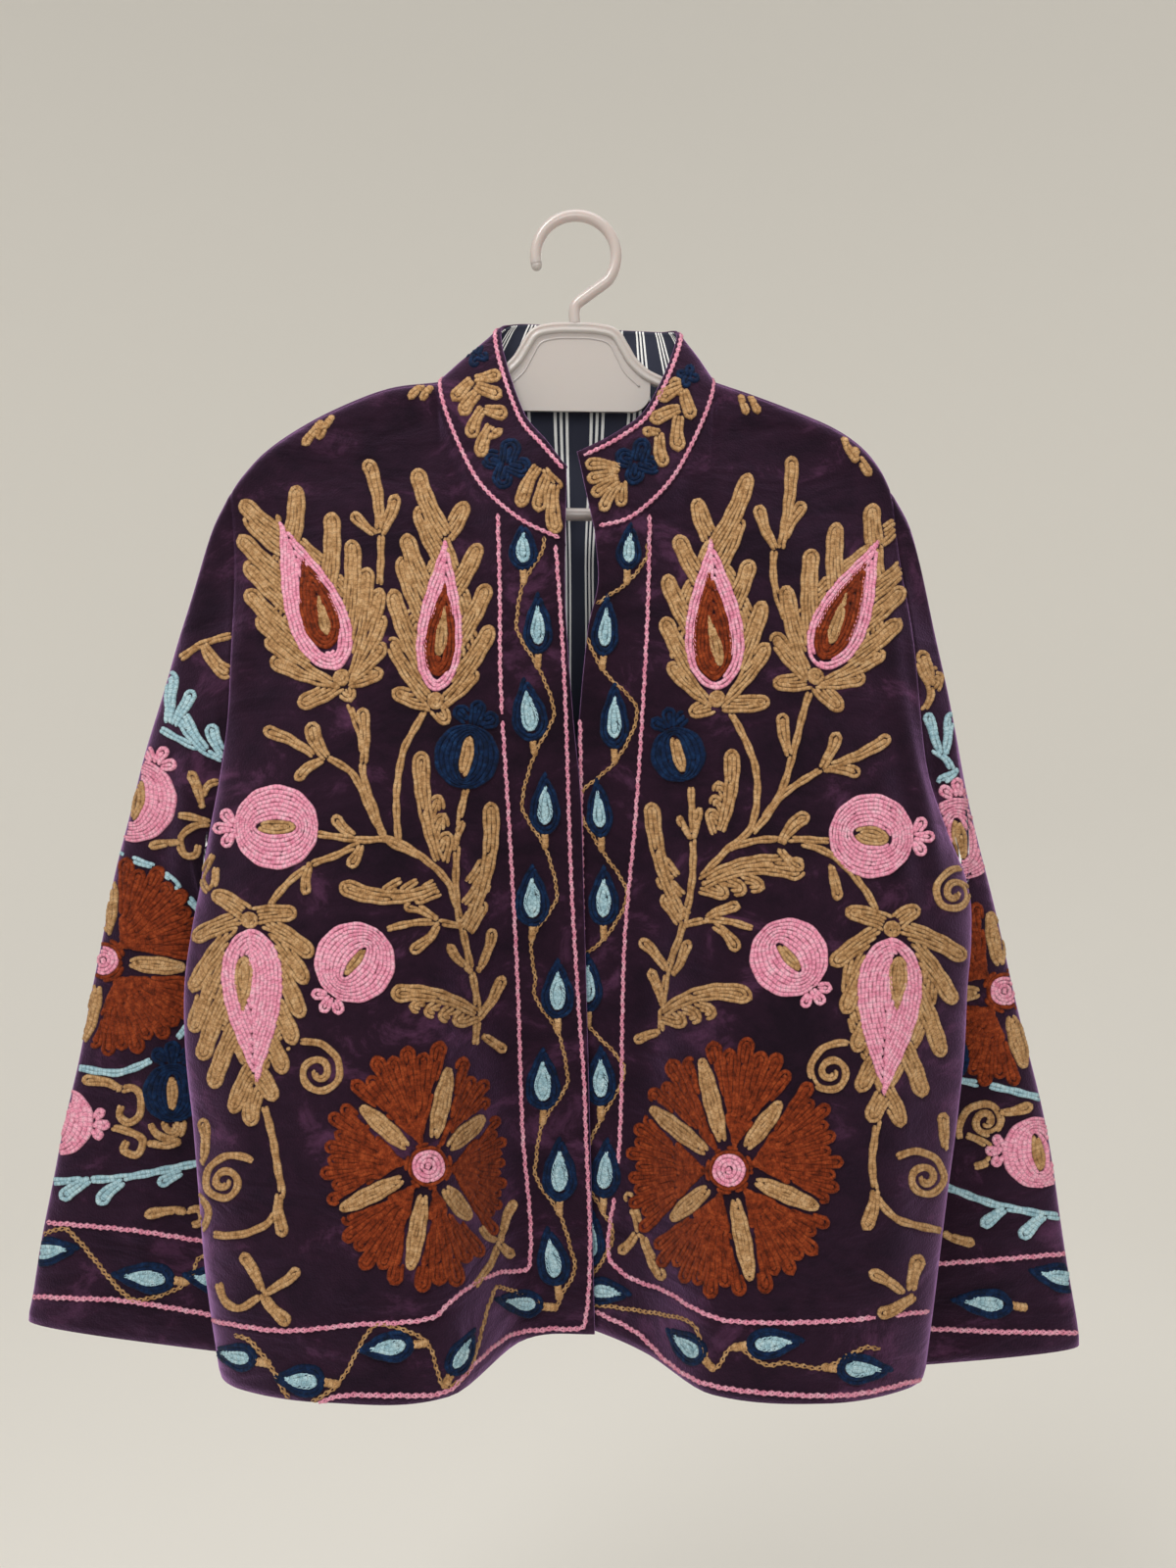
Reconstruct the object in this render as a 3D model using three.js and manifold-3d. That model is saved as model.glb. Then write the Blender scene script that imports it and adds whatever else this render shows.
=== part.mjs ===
import * as THREE from "three";
import { mergeVertices } from "three/addons/utils/BufferGeometryUtils.js";
import Module from "manifold-3d";

// A velvet jacket with a stand collar and long sleeves, hanging open on a one-piece plastic hanger.
// Millimetres, +Z up, +X to the right as seen from the front, +Y towards the wall behind it.
// The origin is the top of the inside of the hanger's hook, where a rail or wall hook carries it.

// Cloth, seams and the way the cloth rolls over the hanger's arms
const WALL = 1.8;
const LINING_WALL = 1.0;
const LINING_CLEARANCE = 0.4;
const SEAM_GAP = 0.4;
const ROLL_RADIUS = 10;
const SETTLE = 110;
const SHORTEST_LEAD = 8;

// Heights of the construction lines below the hook
const NECK_POINT_Z = -105;
const SHOULDER_TIP_Z = -173;
const HEM_Z = -709;
const FRONT_EDGE_LIFT = 5;
const SHOULDER_SEAM_Y = -6;

// Shares of a half width, from the centre line to the side
const NECK_SHARE = 1 / 3;
const SIDE_ROUNDNESS = 6;

// How finely each panel is divided
const NECK_STEPS = 7;
const SHOULDER_STEPS = 10;
const BACK_NECK_STEPS = 10;
const FRONT_LEAD_STEPS = 2;
const BACK_LEAD_STEPS = 4;
const DROP_STEPS = 22;
const UNDERARM_STEP = 10;
const SLEEVE_STEPS = 16;
const COLLAR_STEPS = 4;

// Where the two front edges hang, as x at each height
const OPENING_ROWS = [
  { z: -205, left: -6.5, right: 12 },
  { z: -235, left: -7, right: 14 },
  { z: -262, left: -6, right: 8 },
  { z: -320, left: -1.5, right: 2 },
  { z: -360, left: 2.5, right: -1 },
  { z: -420, left: 4.5, right: -1 },
  { z: -540, left: 7.5, right: 0 },
  { z: -709, left: 11.5, right: 1.5 },
];

// Outline of the body seen from the front, as x at each height
const EDGE_ROWS = [
  { z: -173, left: -216, right: 197 },
  { z: -215, left: -213, right: 201.5 },
  { z: -258, left: -212, right: 207 },
  { z: -310, left: -213, right: 211 },
  { z: -350, left: -218, right: 216 },
  { z: -385, left: -225, right: 228 },
  { z: -420, left: -232, right: 242 },
  { z: -450, left: -236, right: 242 },
  { z: -480, left: -238, right: 238 },
  { z: -520, left: -236, right: 235 },
  { z: -560, left: -231, right: 230 },
  { z: -600, left: -227, right: 224 },
  { z: -650, left: -222, right: 217 },
  { z: -709, left: -213, right: 209 },
];

// How far forward the side seams hang below the underarm
const SIDE_SEAM_ROWS = [
  { z: -420, y: -14 },
  { z: -480, y: -26 },
  { z: -560, y: -31 },
  { z: -640, y: -34 },
  { z: -709, y: -36 },
];

// Depth of each front at five lines down it: its edge, the border's inner line, the big fold, the middle, the flank
const FRONT_LINES = { edge: 0, border: 0.17, fold: 0.31, middle: 0.58, flank: 0.82 };
const LEFT_FRONT_ROWS = [
  { z: -215, edge: -42, border: -36, fold: -30, middle: -24, flank: -18 },
  { z: -300, edge: -38, border: -38, fold: -40, middle: -38, flank: -28 },
  { z: -410, edge: -25, border: -32, fold: -50, middle: -50, flank: -36 },
  { z: -510, edge: -15, border: -19, fold: -58, middle: -62, flank: -46 },
  { z: -610, edge: -8, border: -9, fold: -63, middle: -69, flank: -54 },
  { z: -709, edge: 0, border: -3, fold: -66, middle: -73, flank: -58 },
];
const RIGHT_FRONT_ROWS = [
  { z: -215, edge: -40, border: -34, fold: -29, middle: -24, flank: -18 },
  { z: -300, edge: -34, border: -38, fold: -40, middle: -38, flank: -28 },
  { z: -410, edge: -19, border: -32, fold: -50, middle: -50, flank: -36 },
  { z: -510, edge: -7, border: -21, fold: -56, middle: -62, flank: -46 },
  { z: -610, edge: 3, border: -20, fold: -61, middle: -69, flank: -54 },
  { z: -709, edge: 13, border: -20, fold: -64, middle: -74, flank: -58 },
];

// Depth of the back at four lines, the same on both sides of its centre line
const BACK_LINES = { centre: 0, inner: 0.3, outer: 0.6, flank: 0.82 };
const BACK_ROWS = [
  { z: -130, centre: 20, inner: 18, outer: 14, flank: 12 },
  { z: -300, centre: 20, inner: 19, outer: 16, flank: 13 },
  { z: -420, centre: 20, inner: 18, outer: 9, flank: -1 },
  { z: -520, centre: 20, inner: 16, outer: 4, flank: -12 },
  { z: -620, centre: 21, inner: 15, outer: 1, flank: -17 },
  { z: -709, centre: 22, inner: 15, outer: -1, flank: -20 },
];

// How far the shoulder seam falls below the neck point on its way out to the tip
const SHOULDER_ROWS = [
  { share: 0, left: 0, right: 0 },
  { share: 0.24, left: 4, right: 9 },
  { share: 0.5, left: 17, right: 20 },
  { share: 0.7, left: 31, right: 30 },
  { share: 0.85, left: 45, right: 42 },
  { share: 0.95, left: 59, right: 56 },
  { share: 1, left: 68, right: 68 },
];

// The collar from its left front end round the back to its right front end: its seam and its top edge
const COLLAR_ROWS = [
  { turn: 0, seamX: -6.5, seamY: -43, seamZ: -213, edgeX: -6, edgeY: -39, edgeZ: -165 },
  { turn: 0.1, seamX: -37, seamY: -37, seamZ: -197, edgeX: -18, edgeY: -33, edgeZ: -148 },
  { turn: 0.2, seamX: -65, seamY: -23, seamZ: -166, edgeX: -33, edgeY: -21, edgeZ: -126 },
  { turn: 1 / 3, seamX: -87, seamY: -6, seamZ: -105, edgeX: -48, edgeY: -1, edgeZ: -72 },
  { turn: 0.42, seamX: -60, seamY: 16, seamZ: -108, edgeX: -38, edgeY: 14, edgeZ: -60 },
  { turn: 0.5, seamX: 0, seamY: 22, seamZ: -111, edgeX: 8, edgeY: 20, edgeZ: -61 },
  { turn: 0.58, seamX: 60, seamY: 16, seamZ: -108, edgeX: 52, edgeY: 15, edgeZ: -65 },
  { turn: 2 / 3, seamX: 87, seamY: -6, seamZ: -105, edgeX: 64, edgeY: 0, edgeZ: -72 },
  { turn: 0.8, seamX: 64, seamY: -23, seamZ: -164, edgeX: 45, edgeY: -22, edgeZ: -123 },
  { turn: 0.9, seamX: 36, seamY: -36, seamZ: -196, edgeX: 26, edgeY: -32, edgeZ: -142 },
  { turn: 1, seamX: 12, seamY: -41, seamZ: -204.5, edgeX: 1.5, edgeY: -40, edgeZ: -157 },
];

// Each sleeve from the armhole to the cuff: the fold along its top, its underarm line, and how thick it hangs
const LEFT_SLEEVE_ROWS = [
  { down: 0, topX: -216, topY: 0, topZ: -173, underX: -232, underY: -14, underZ: -420, thick: 34 },
  { down: 0.06, topX: -228, topY: 1, topZ: -198, underX: -233, underY: -9, underZ: -423, thick: 36 },
  { down: 0.15, topX: -245, topY: 3, topZ: -252, underX: -234, underY: -1, underZ: -429, thick: 38 },
  { down: 0.3, topX: -271, topY: 7, topZ: -331, underX: -232, underY: 8, underZ: -442, thick: 40 },
  { down: 0.42, topX: -288, topY: 10, topZ: -395, underX: -220, underY: 14, underZ: -466, thick: 37 },
  { down: 0.55, topX: -304, topY: 12, topZ: -463, underX: -188, underY: 16, underZ: -520, thick: 33 },
  { down: 0.7, topX: -321, topY: 13, topZ: -542, underX: -153, underY: 17, underZ: -590, thick: 30 },
  { down: 0.85, topX: -337, topY: 14, topZ: -621, underX: -146, underY: 17, underZ: -660, thick: 27 },
  { down: 1, topX: -352, topY: 14, topZ: -700, underX: -160, underY: 17, underZ: -726, thick: 25 },
];
const RIGHT_SLEEVE_ROWS = [
  { down: 0, topX: 197, topY: 0, topZ: -173, underX: 242, underY: -14, underZ: -420, thick: 34 },
  { down: 0.06, topX: 210, topY: 1, topZ: -198, underX: 245, underY: -7, underZ: -424, thick: 36 },
  { down: 0.15, topX: 223, topY: 3, topZ: -254, underX: 246, underY: 3, underZ: -431, thick: 38 },
  { down: 0.3, topX: 240, topY: 7, topZ: -336, underX: 241, underY: 12, underZ: -444, thick: 40 },
  { down: 0.42, topX: 257, topY: 10, topZ: -401, underX: 227, underY: 17, underZ: -468, thick: 37 },
  { down: 0.55, topX: 275, topY: 12, topZ: -472, underX: 193, underY: 17, underZ: -522, thick: 33 },
  { down: 0.7, topX: 295, topY: 13, topZ: -554, underX: 151, underY: 17, underZ: -597, thick: 30 },
  { down: 0.85, topX: 310, topY: 14, topZ: -635, underX: 135, underY: 17, underZ: -670, thick: 27 },
  { down: 1, topX: 323, topY: 14, topZ: -716, underX: 131, underY: 17, underZ: -733, thick: 25 },
];
const SLEEVE_EASE = 0.2;
const SLEEVE_END_BLUNTNESS = 0.75;
const SLEEVE_FLATNESS = 0.6;
const ARMHOLE_FRONT_BULGE = 11;
const ARMHOLE_BACK_BULGE = 13;

// The hanger, level and centred under its own hook
const HANGER_TILT = THREE.MathUtils.degToRad(0.7);
const HOOK_RADIUS = 25.5;
const HOOK_ROD = 3.6;
const HOOK_END_ANGLE = 194;
const HOOK_TURN_ANGLE = -42;
const STEM_TOP = { x: 0, z: -54 };
const STEM_FOOT = { x: 0, z: -66 };
const RIM_HEIGHT = 7;
const RIM_DEPTH = 8;
const PLATE_THICKNESS = 2.4;
const PLATE_FOOT_Z = -120.5;
const PLATE_HALF_FOOT = 36;
const BAR_Z = -185.5;
const BAR_HEIGHT = 8;
const HANGER_ROWS = [
  { x: 0, z: -68 },
  { x: 14, z: -68.5 },
  { x: 25, z: -71.5 },
  { x: 31, z: -80 },
  { x: 37, z: -89.5 },
  { x: 48, z: -98.5 },
  { x: 87, z: -113.5 },
  { x: 113, z: -120.5 },
  { x: 138, z: -130.5 },
  { x: 160, z: -141.5 },
  { x: 176, z: -152 },
];
const HANGER_END_ROWS = [
  { x: 176, z: -152 },
  { x: 182, z: -163 },
  { x: 180, z: -176 },
  { x: 168, z: -184.5 },
  { x: 150, z: -185.5 },
  { x: 100, z: -185.5 },
];

// Colours
const COLOURS = {
  velvet: { color: 0x3a1c33, roughness: 0.9, metalness: 0 },
  lining: { color: 0x15161d, roughness: 0.75, metalness: 0 },
  plastic: { color: 0xb9b1ac, roughness: 0.35, metalness: 0 },
};

const { clamp, degToRad, lerp, smoothstep } = THREE.MathUtils;

const settle = (share) => smoothstep(share, 0, 1);

// Reads a table as a smooth curve: the value of one column where another column stands at a given value.
function readTable(rows, by, column, at) {
  const last = rows.length - 1;
  const sense = Math.sign(rows[last][by] - rows[0][by]);
  const place = (i) => rows[i][by] * sense;
  const wanted = clamp(at * sense, place(0), place(last));
  let i = 0;
  while (i < last - 1 && wanted > place(i + 1)) i++;
  const slope = (j) => {
    const before = Math.max(j - 1, 0);
    const after = Math.min(j + 1, last);
    return (rows[after][column] - rows[before][column]) / (place(after) - place(before));
  };
  const span = place(i + 1) - place(i);
  const t = (wanted - place(i)) / span;
  return (
    rows[i][column] * (1 + 2 * t) * (1 - t) ** 2 +
    rows[i + 1][column] * t * t * (3 - 2 * t) +
    slope(i) * span * t * (1 - t) ** 2 -
    slope(i + 1) * span * t * t * (1 - t)
  );
}

// The share of the half width that a column covers: nearly even, then slowing so that the side rounds over.
const halfWidthShare = (u) =>
  (u * SIDE_ROUNDNESS - u ** SIDE_ROUNDNESS) / (SIDE_ROUNDNESS - 1);

const shoulderShare = (u) =>
  (halfWidthShare(u) - halfWidthShare(NECK_SHARE)) / (1 - halfWidthShare(NECK_SHARE));

function collarPoint(line, turn) {
  const [x, y, z] = ["X", "Y", "Z"].map((axis) => readTable(COLLAR_ROWS, "turn", line + axis, turn));
  return new THREE.Vector3(x, y, z);
}

// Top edge of a front or of one half of the back: along the neck, then out along the shoulder seam.
function topPoint(side, u, turnAtCentre) {
  const turnAtNeckPoint = side === "left" ? NECK_SHARE : 1 - NECK_SHARE;
  if (u <= NECK_SHARE) {
    return collarPoint("seam", lerp(turnAtCentre, turnAtNeckPoint, u / NECK_SHARE));
  }
  const share = shoulderShare(u);
  const neckPoint = collarPoint("seam", turnAtNeckPoint);
  const tipX = readTable(EDGE_ROWS, "z", side, SHOULDER_TIP_Z);
  const fall = readTable(SHOULDER_ROWS, "share", side, share);
  return new THREE.Vector3(lerp(neckPoint.x, tipX, share), SHOULDER_SEAM_Y, NECK_POINT_Z - fall);
}

const UNDERARM_Z = lerp(
  SHOULDER_TIP_Z - ROLL_RADIUS * Math.cos(Math.asin(SHOULDER_SEAM_Y / ROLL_RADIUS)),
  HEM_Z,
  UNDERARM_STEP / DROP_STEPS,
);

// Depth of the body's outer edge: the armhole above the underarm, where front and back part, and the side seam below.
function edgeDepth(facing, z) {
  const underarmY = readTable(SIDE_SEAM_ROWS, "z", "y", UNDERARM_Z);
  if (z <= UNDERARM_Z) return readTable(SIDE_SEAM_ROWS, "z", "y", z);
  const up = clamp((z - UNDERARM_Z) / (SHOULDER_TIP_Z - ROLL_RADIUS - UNDERARM_Z), 0, 1);
  const bulge = facing < 0 ? ARMHOLE_FRONT_BULGE : ARMHOLE_BACK_BULGE;
  return lerp(underarmY, facing * ROLL_RADIUS, up) + facing * bulge * Math.sin(Math.PI * up);
}

// Depth across a panel at one height, as a smooth curve through its lines and its outer edge.
function panelDepth(rows, lines, facing, u, z) {
  const across = Object.keys(lines).map((line) => ({
    u: lines[line],
    y: readTable(rows, "z", line, z),
  }));
  across.push({ u: 1, y: edgeDepth(facing, z) });
  return readTable(across, "u", "y", u);
}

// One column of a panel: it leaves its top point, rolls over the hanger's arm if it starts there, and hangs to the hem.
function hangColumn(top, facing, leadSteps, acrossAt, depthAt, hemZ) {
  const startAngle = Math.asin(clamp(top.y / ROLL_RADIUS, -1, 1));
  const rolls = Math.abs(top.y) < ROLL_RADIUS;
  const axisZ = rolls ? top.z - ROLL_RADIUS * Math.cos(startAngle) : top.z;
  const rollLength = rolls ? ROLL_RADIUS * (Math.PI / 2 - facing * startAngle) : 0;
  const leadLength = Math.max(rollLength, SHORTEST_LEAD);
  const hangY = rolls ? facing * ROLL_RADIUS : top.y;
  const pointAfter = (travelled) => {
    if (travelled < rollLength) {
      const angle = startAngle + (facing * travelled) / ROLL_RADIUS;
      const z = axisZ + ROLL_RADIUS * Math.cos(angle);
      return new THREE.Vector3(top.x, ROLL_RADIUS * Math.sin(angle), z);
    }
    const fallen = travelled - rollLength;
    const z = axisZ - fallen;
    const hung = settle(fallen / SETTLE);
    const x = acrossAt(z) + (top.x - acrossAt(top.z)) * (1 - hung);
    return new THREE.Vector3(x, lerp(hangY, depthAt(z), hung), z);
  };
  const column = [];
  for (let i = 0; i < leadSteps; i++) column.push(pointAfter((leadLength * i) / leadSteps));
  const dropFrom = axisZ - (leadLength - rollLength);
  for (let i = 0; i <= DROP_STEPS; i++) {
    column.push(pointAfter(leadLength + ((dropFrom - hemZ) * i) / DROP_STEPS));
  }
  return column;
}

const hemHeight = (u) => HEM_Z + FRONT_EDGE_LIFT * (1 - settle(u / FRONT_LINES.fold));

// The shares at which a panel's columns stand, out from the centre line.
function columnShares(neckSteps) {
  const shares = [];
  for (let i = 0; i < neckSteps; i++) shares.push((NECK_SHARE * i) / neckSteps);
  for (let i = 0; i <= SHOULDER_STEPS; i++) shares.push(lerp(NECK_SHARE, 1, i / SHOULDER_STEPS));
  return shares;
}

function frontColumns(side) {
  const rows = side === "left" ? LEFT_FRONT_ROWS : RIGHT_FRONT_ROWS;
  const turnAtCentre = side === "left" ? 0 : 1;
  return columnShares(NECK_STEPS).map((u) => {
    const acrossAt = (z) =>
      lerp(
        readTable(OPENING_ROWS, "z", side, z),
        readTable(EDGE_ROWS, "z", side, z),
        halfWidthShare(u),
      );
    const depthAt = (z) => panelDepth(rows, FRONT_LINES, -1, u, z);
    const top = topPoint(side, u, turnAtCentre);
    return hangColumn(top, -1, FRONT_LEAD_STEPS, acrossAt, depthAt, hemHeight(u));
  });
}

function backColumns() {
  const halfBack = (side) =>
    columnShares(BACK_NECK_STEPS / 2).map((u) => {
      const acrossAt = (z) => readTable(EDGE_ROWS, "z", side, z) * halfWidthShare(u);
      const depthAt = (z) => panelDepth(BACK_ROWS, BACK_LINES, 1, u, z);
      return hangColumn(topPoint(side, u, 0.5), 1, BACK_LEAD_STEPS, acrossAt, depthAt, HEM_Z);
    });
  return [...halfBack("left").reverse(), ...halfBack("right").slice(1)];
}

function collarColumns() {
  const turns = [];
  for (let i = 0; i < NECK_STEPS; i++) turns.push((NECK_SHARE * i) / NECK_STEPS);
  for (let i = 0; i < BACK_NECK_STEPS; i++) turns.push(NECK_SHARE + (NECK_SHARE * i) / BACK_NECK_STEPS);
  for (let i = 0; i <= NECK_STEPS; i++) turns.push(2 * NECK_SHARE + (NECK_SHARE * i) / NECK_STEPS);
  return turns.map((turn) => {
    const seam = collarPoint("seam", turn);
    const edge = collarPoint("edge", turn);
    return Array.from({ length: COLLAR_STEPS + 1 }, (_, i) => seam.clone().lerp(edge, i / COLLAR_STEPS));
  });
}

// The armhole as a ring: from the shoulder tip down the front's edge to the underarm and up the back's edge.
function armhole(frontEdge, backEdge) {
  const down = frontEdge.slice(0, FRONT_LEAD_STEPS + UNDERARM_STEP + 1);
  const up = backEdge.slice(1, BACK_LEAD_STEPS + UNDERARM_STEP).reverse();
  return [...down, ...up];
}

// A flattened ring of the hanging sleeve. Its points match the armhole's, from the top fold round the front.
function sleeveRing(rows, down, count, underarmIndex) {
  const read = (column) => readTable(rows, "down", column, down);
  const top = new THREE.Vector3(read("topX"), read("topY"), read("topZ"));
  const under = new THREE.Vector3(read("underX"), read("underY"), read("underZ"));
  const halfThickness = read("thick") / 2;
  return Array.from({ length: count }, (_, i) => {
    const turned =
      i <= underarmIndex ? i / underarmIndex : 1 + (i - underarmIndex) / (count - underarmIndex);
    const cosine = Math.cos(Math.PI * turned);
    const sine = Math.sin(Math.PI * turned);
    const along = (1 - Math.sign(cosine) * Math.abs(cosine) ** SLEEVE_END_BLUNTNESS) / 2;
    const out = Math.sign(sine) * Math.abs(sine) ** SLEEVE_FLATNESS;
    const point = top.clone().lerp(under, along);
    point.y -= out * halfThickness;
    return point;
  });
}

function sleeveColumns(side, ring) {
  const rows = side === "left" ? LEFT_SLEEVE_ROWS : RIGHT_SLEEVE_ROWS;
  const underarmIndex = FRONT_LEAD_STEPS + UNDERARM_STEP;
  const first = sleeveRing(rows, 0, ring.length, underarmIndex);
  const rings = Array.from({ length: SLEEVE_STEPS + 1 }, (_, i) => {
    const down = i / SLEEVE_STEPS;
    const kept = 1 - settle(down / SLEEVE_EASE);
    return sleeveRing(rows, down, ring.length, underarmIndex).map((point, j) =>
      point.addScaledVector(ring[j].clone().sub(first[j]), kept),
    );
  });
  return ring.map((_, j) => rings.map((points) => points[j]));
}

// A grid of points read past its ends: held there, or carried round when the panel is a tube.
function pointAt({ columns, closed }, c, r) {
  const wide = columns.length;
  const column = columns[closed ? (c + wide) % wide : clamp(c, 0, wide - 1)];
  return column[clamp(r, 0, column.length - 1)];
}

// A cloth panel as a grid of columns, with the outward normal at each point.
function makePanel(name, columns, { closed = false, outward }) {
  const panel = { name, columns, closed };
  panel.normals = columns.map((column, c) =>
    column.map((_, r) => {
      const across = pointAt(panel, c + 1, r).clone().sub(pointAt(panel, c - 1, r));
      const along = pointAt(panel, c, r + 1).clone().sub(pointAt(panel, c, r - 1));
      return across.cross(along).normalize().multiplyScalar(outward);
    }),
  );
  return panel;
}

const seamKey = (point) => point.toArray().map((value) => Math.round(value * 20)).join(",");

function borderOf(panel) {
  const wide = panel.columns.length;
  const deep = panel.columns[0].length;
  const border = [];
  for (let c = 0; c < wide; c++) {
    for (let r = 0; r < deep; r++) {
      const onSide = !panel.closed && (c === 0 || c === wide - 1);
      if (onSide || r === 0 || r === deep - 1) border.push([c, r]);
    }
  }
  return border;
}

// Where panels are sewn together their walls lean the same way, so the walls meet in a mitre.
function mitreSeams(panels) {
  const sums = new Map();
  for (const panel of panels) {
    for (const [c, r] of borderOf(panel)) {
      const key = seamKey(panel.columns[c][r]);
      if (!sums.has(key)) sums.set(key, new THREE.Vector3());
      sums.get(key).add(panel.normals[c][r]);
    }
  }
  for (const panel of panels) {
    for (const [c, r] of borderOf(panel)) {
      panel.normals[c][r] = sums.get(seamKey(panel.columns[c][r])).clone().normalize();
    }
  }
}

// Draws a panel's border back from its seams, square to each seam.
function drawBack(panel, distance) {
  const { columns, closed } = panel;
  const lastColumn = columns.length - 1;
  const lastRow = columns[0].length - 1;
  const moved = columns.map((column) => column.map((point) => point.clone()));
  const shift = (c, r, inC, inR) => {
    const [alongC, alongR] = inR === 0 ? [0, 1] : [1, 0];
    const seam = pointAt(panel, c + alongC, r + alongR).clone();
    seam.sub(pointAt(panel, c - alongC, r - alongR)).normalize();
    const step = pointAt(panel, c + inC, r + inR).clone().sub(columns[c][r]);
    step.addScaledVector(seam, -step.dot(seam)).normalize();
    moved[c][r].addScaledVector(step, distance);
  };
  for (let c = 0; c <= lastColumn; c++) {
    shift(c, 0, 0, 1);
    shift(c, lastRow, 0, -1);
  }
  if (!closed) {
    for (let r = 0; r <= lastRow; r++) {
      shift(0, r, 1, 0);
      shift(lastColumn, r, -1, 0);
    }
  }
  return { ...panel, columns: moved };
}

// A closed wall of cloth between two depths under a panel's outer face.
function clothWall(panel, outerDepth, innerDepth) {
  const { columns, normals, closed } = panel;
  const wide = columns.length;
  const deep = columns[0].length;
  const layer = wide * deep;
  const positions = [];
  for (const depth of [outerDepth, innerDepth]) {
    columns.forEach((column, c) =>
      column.forEach((point, r) => {
        positions.push(...point.clone().addScaledVector(normals[c][r], -depth).toArray());
      }),
    );
  }
  const faces = [];
  const quad = (a, b, c, d) => faces.push(a, b, c, a, c, d);
  const heightOf = (i) => positions[i * 3 + 2];
  // Both sides of a seam split their twisted rims alike: from the higher outer point to the lower inner one.
  const rim = (a, aInner, bInner, b) =>
    heightOf(a) >= heightOf(b) ? quad(a, aInner, bInner, b) : quad(aInner, bInner, b, a);
  const outer = (c, r) => (c % wide) * deep + r;
  const inner = (c, r) => outer(c, r) + layer;
  const spans = closed ? wide : wide - 1;
  for (let c = 0; c < spans; c++) {
    for (let r = 0; r < deep - 1; r++) {
      quad(outer(c, r), outer(c + 1, r), outer(c + 1, r + 1), outer(c, r + 1));
      quad(inner(c, r), inner(c, r + 1), inner(c + 1, r + 1), inner(c + 1, r));
    }
    rim(outer(c, 0), inner(c, 0), inner(c + 1, 0), outer(c + 1, 0));
    rim(outer(c + 1, deep - 1), inner(c + 1, deep - 1), inner(c, deep - 1), outer(c, deep - 1));
  }
  if (!closed) {
    for (let r = 0; r < deep - 1; r++) {
      rim(outer(0, r + 1), inner(0, r + 1), inner(0, r), outer(0, r));
      rim(outer(wide - 1, r), inner(wide - 1, r), inner(wide - 1, r + 1), outer(wide - 1, r + 1));
    }
  }
  const geometry = new THREE.BufferGeometry();
  geometry.setAttribute("position", new THREE.Float32BufferAttribute(positions, 3));
  geometry.setIndex(signedVolume(positions, faces) < 0 ? faces.reverse() : faces);
  geometry.computeVertexNormals();
  return geometry;
}

function signedVolume(positions, faces) {
  const corner = (i) => new THREE.Vector3().fromArray(positions, faces[i] * 3);
  let sum = 0;
  for (let i = 0; i < faces.length; i += 3) {
    sum += corner(i).dot(corner(i + 1).cross(corner(i + 2)));
  }
  return sum / 6;
}

// A rounded bar of a given section swept along points in the hanger's plane.
function sweep(points, depth, height, steps) {
  const section = new THREE.Shape();
  section.absellipse(0, 0, depth / 2, height / 2, 0, 2 * Math.PI, false, 0);
  const path = new THREE.CatmullRomCurve3(points.map(({ x, z }) => new THREE.Vector3(x, 0, z)));
  return new THREE.ExtrudeGeometry(section, {
    steps,
    bevelEnabled: false,
    extrudePath: path,
    curveSegments: 5,
  });
}

const mirrored = (rows) => rows.map(({ x, z }) => ({ x: -x, z }));

function hangerArms() {
  const leftToRight = [...mirrored(HANGER_ROWS.slice(1)).reverse(), ...HANGER_ROWS];
  return sweep(leftToRight, RIM_DEPTH, RIM_HEIGHT, 36);
}

function hangerBar() {
  const leftToRight = [...mirrored(HANGER_END_ROWS), { x: 0, z: BAR_Z }, ...[...HANGER_END_ROWS].reverse()];
  return sweep(leftToRight, RIM_DEPTH, BAR_HEIGHT, 24);
}

function hangerPlate() {
  const outline = new THREE.Shape();
  const rim = HANGER_ROWS.filter(({ x }) => x <= 48);
  const cornerRadius = 12;
  outline.moveTo(-PLATE_HALF_FOOT, PLATE_FOOT_Z);
  outline.lineTo(PLATE_HALF_FOOT, PLATE_FOOT_Z);
  outline.absarc(PLATE_HALF_FOOT, PLATE_FOOT_Z + cornerRadius, cornerRadius, -Math.PI / 2, 0, false);
  for (const { x, z } of [...rim].reverse()) outline.lineTo(x, z);
  for (const { x, z } of mirrored(rim.slice(1))) outline.lineTo(x, z);
  outline.absarc(-PLATE_HALF_FOOT, PLATE_FOOT_Z + cornerRadius, cornerRadius, Math.PI, 1.5 * Math.PI, false);
  const plate = new THREE.ExtrudeGeometry(outline, {
    depth: PLATE_THICKNESS,
    bevelEnabled: false,
    curveSegments: 5,
  });
  return plate.rotateX(Math.PI / 2).translate(0, PLATE_THICKNESS / 2, 0);
}

function hangerHook() {
  const centreZ = HOOK_ROD - HOOK_RADIUS;
  const points = [];
  for (let angle = HOOK_END_ANGLE; angle >= HOOK_TURN_ANGLE; angle -= 20) {
    const turned = degToRad(angle);
    points.push({ x: HOOK_RADIUS * Math.cos(turned), z: centreZ + HOOK_RADIUS * Math.sin(turned) });
  }
  points.push({ x: 7, z: -47.5 }, STEM_TOP, STEM_FOOT);
  return sweep(points, 2 * HOOK_ROD, 2 * HOOK_ROD, 34);
}

const manifold = await Module();
manifold.setup();

function toSolid(geometry) {
  const bare = geometry.clone();
  bare.deleteAttribute("normal");
  bare.deleteAttribute("uv");
  const merged = mergeVertices(bare, 1e-3);
  return new manifold.Manifold(
    new manifold.Mesh({
      numProp: 3,
      vertProperties: merged.attributes.position.array,
      triVerts: new Uint32Array(merged.index.array),
    }),
  );
}

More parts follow.
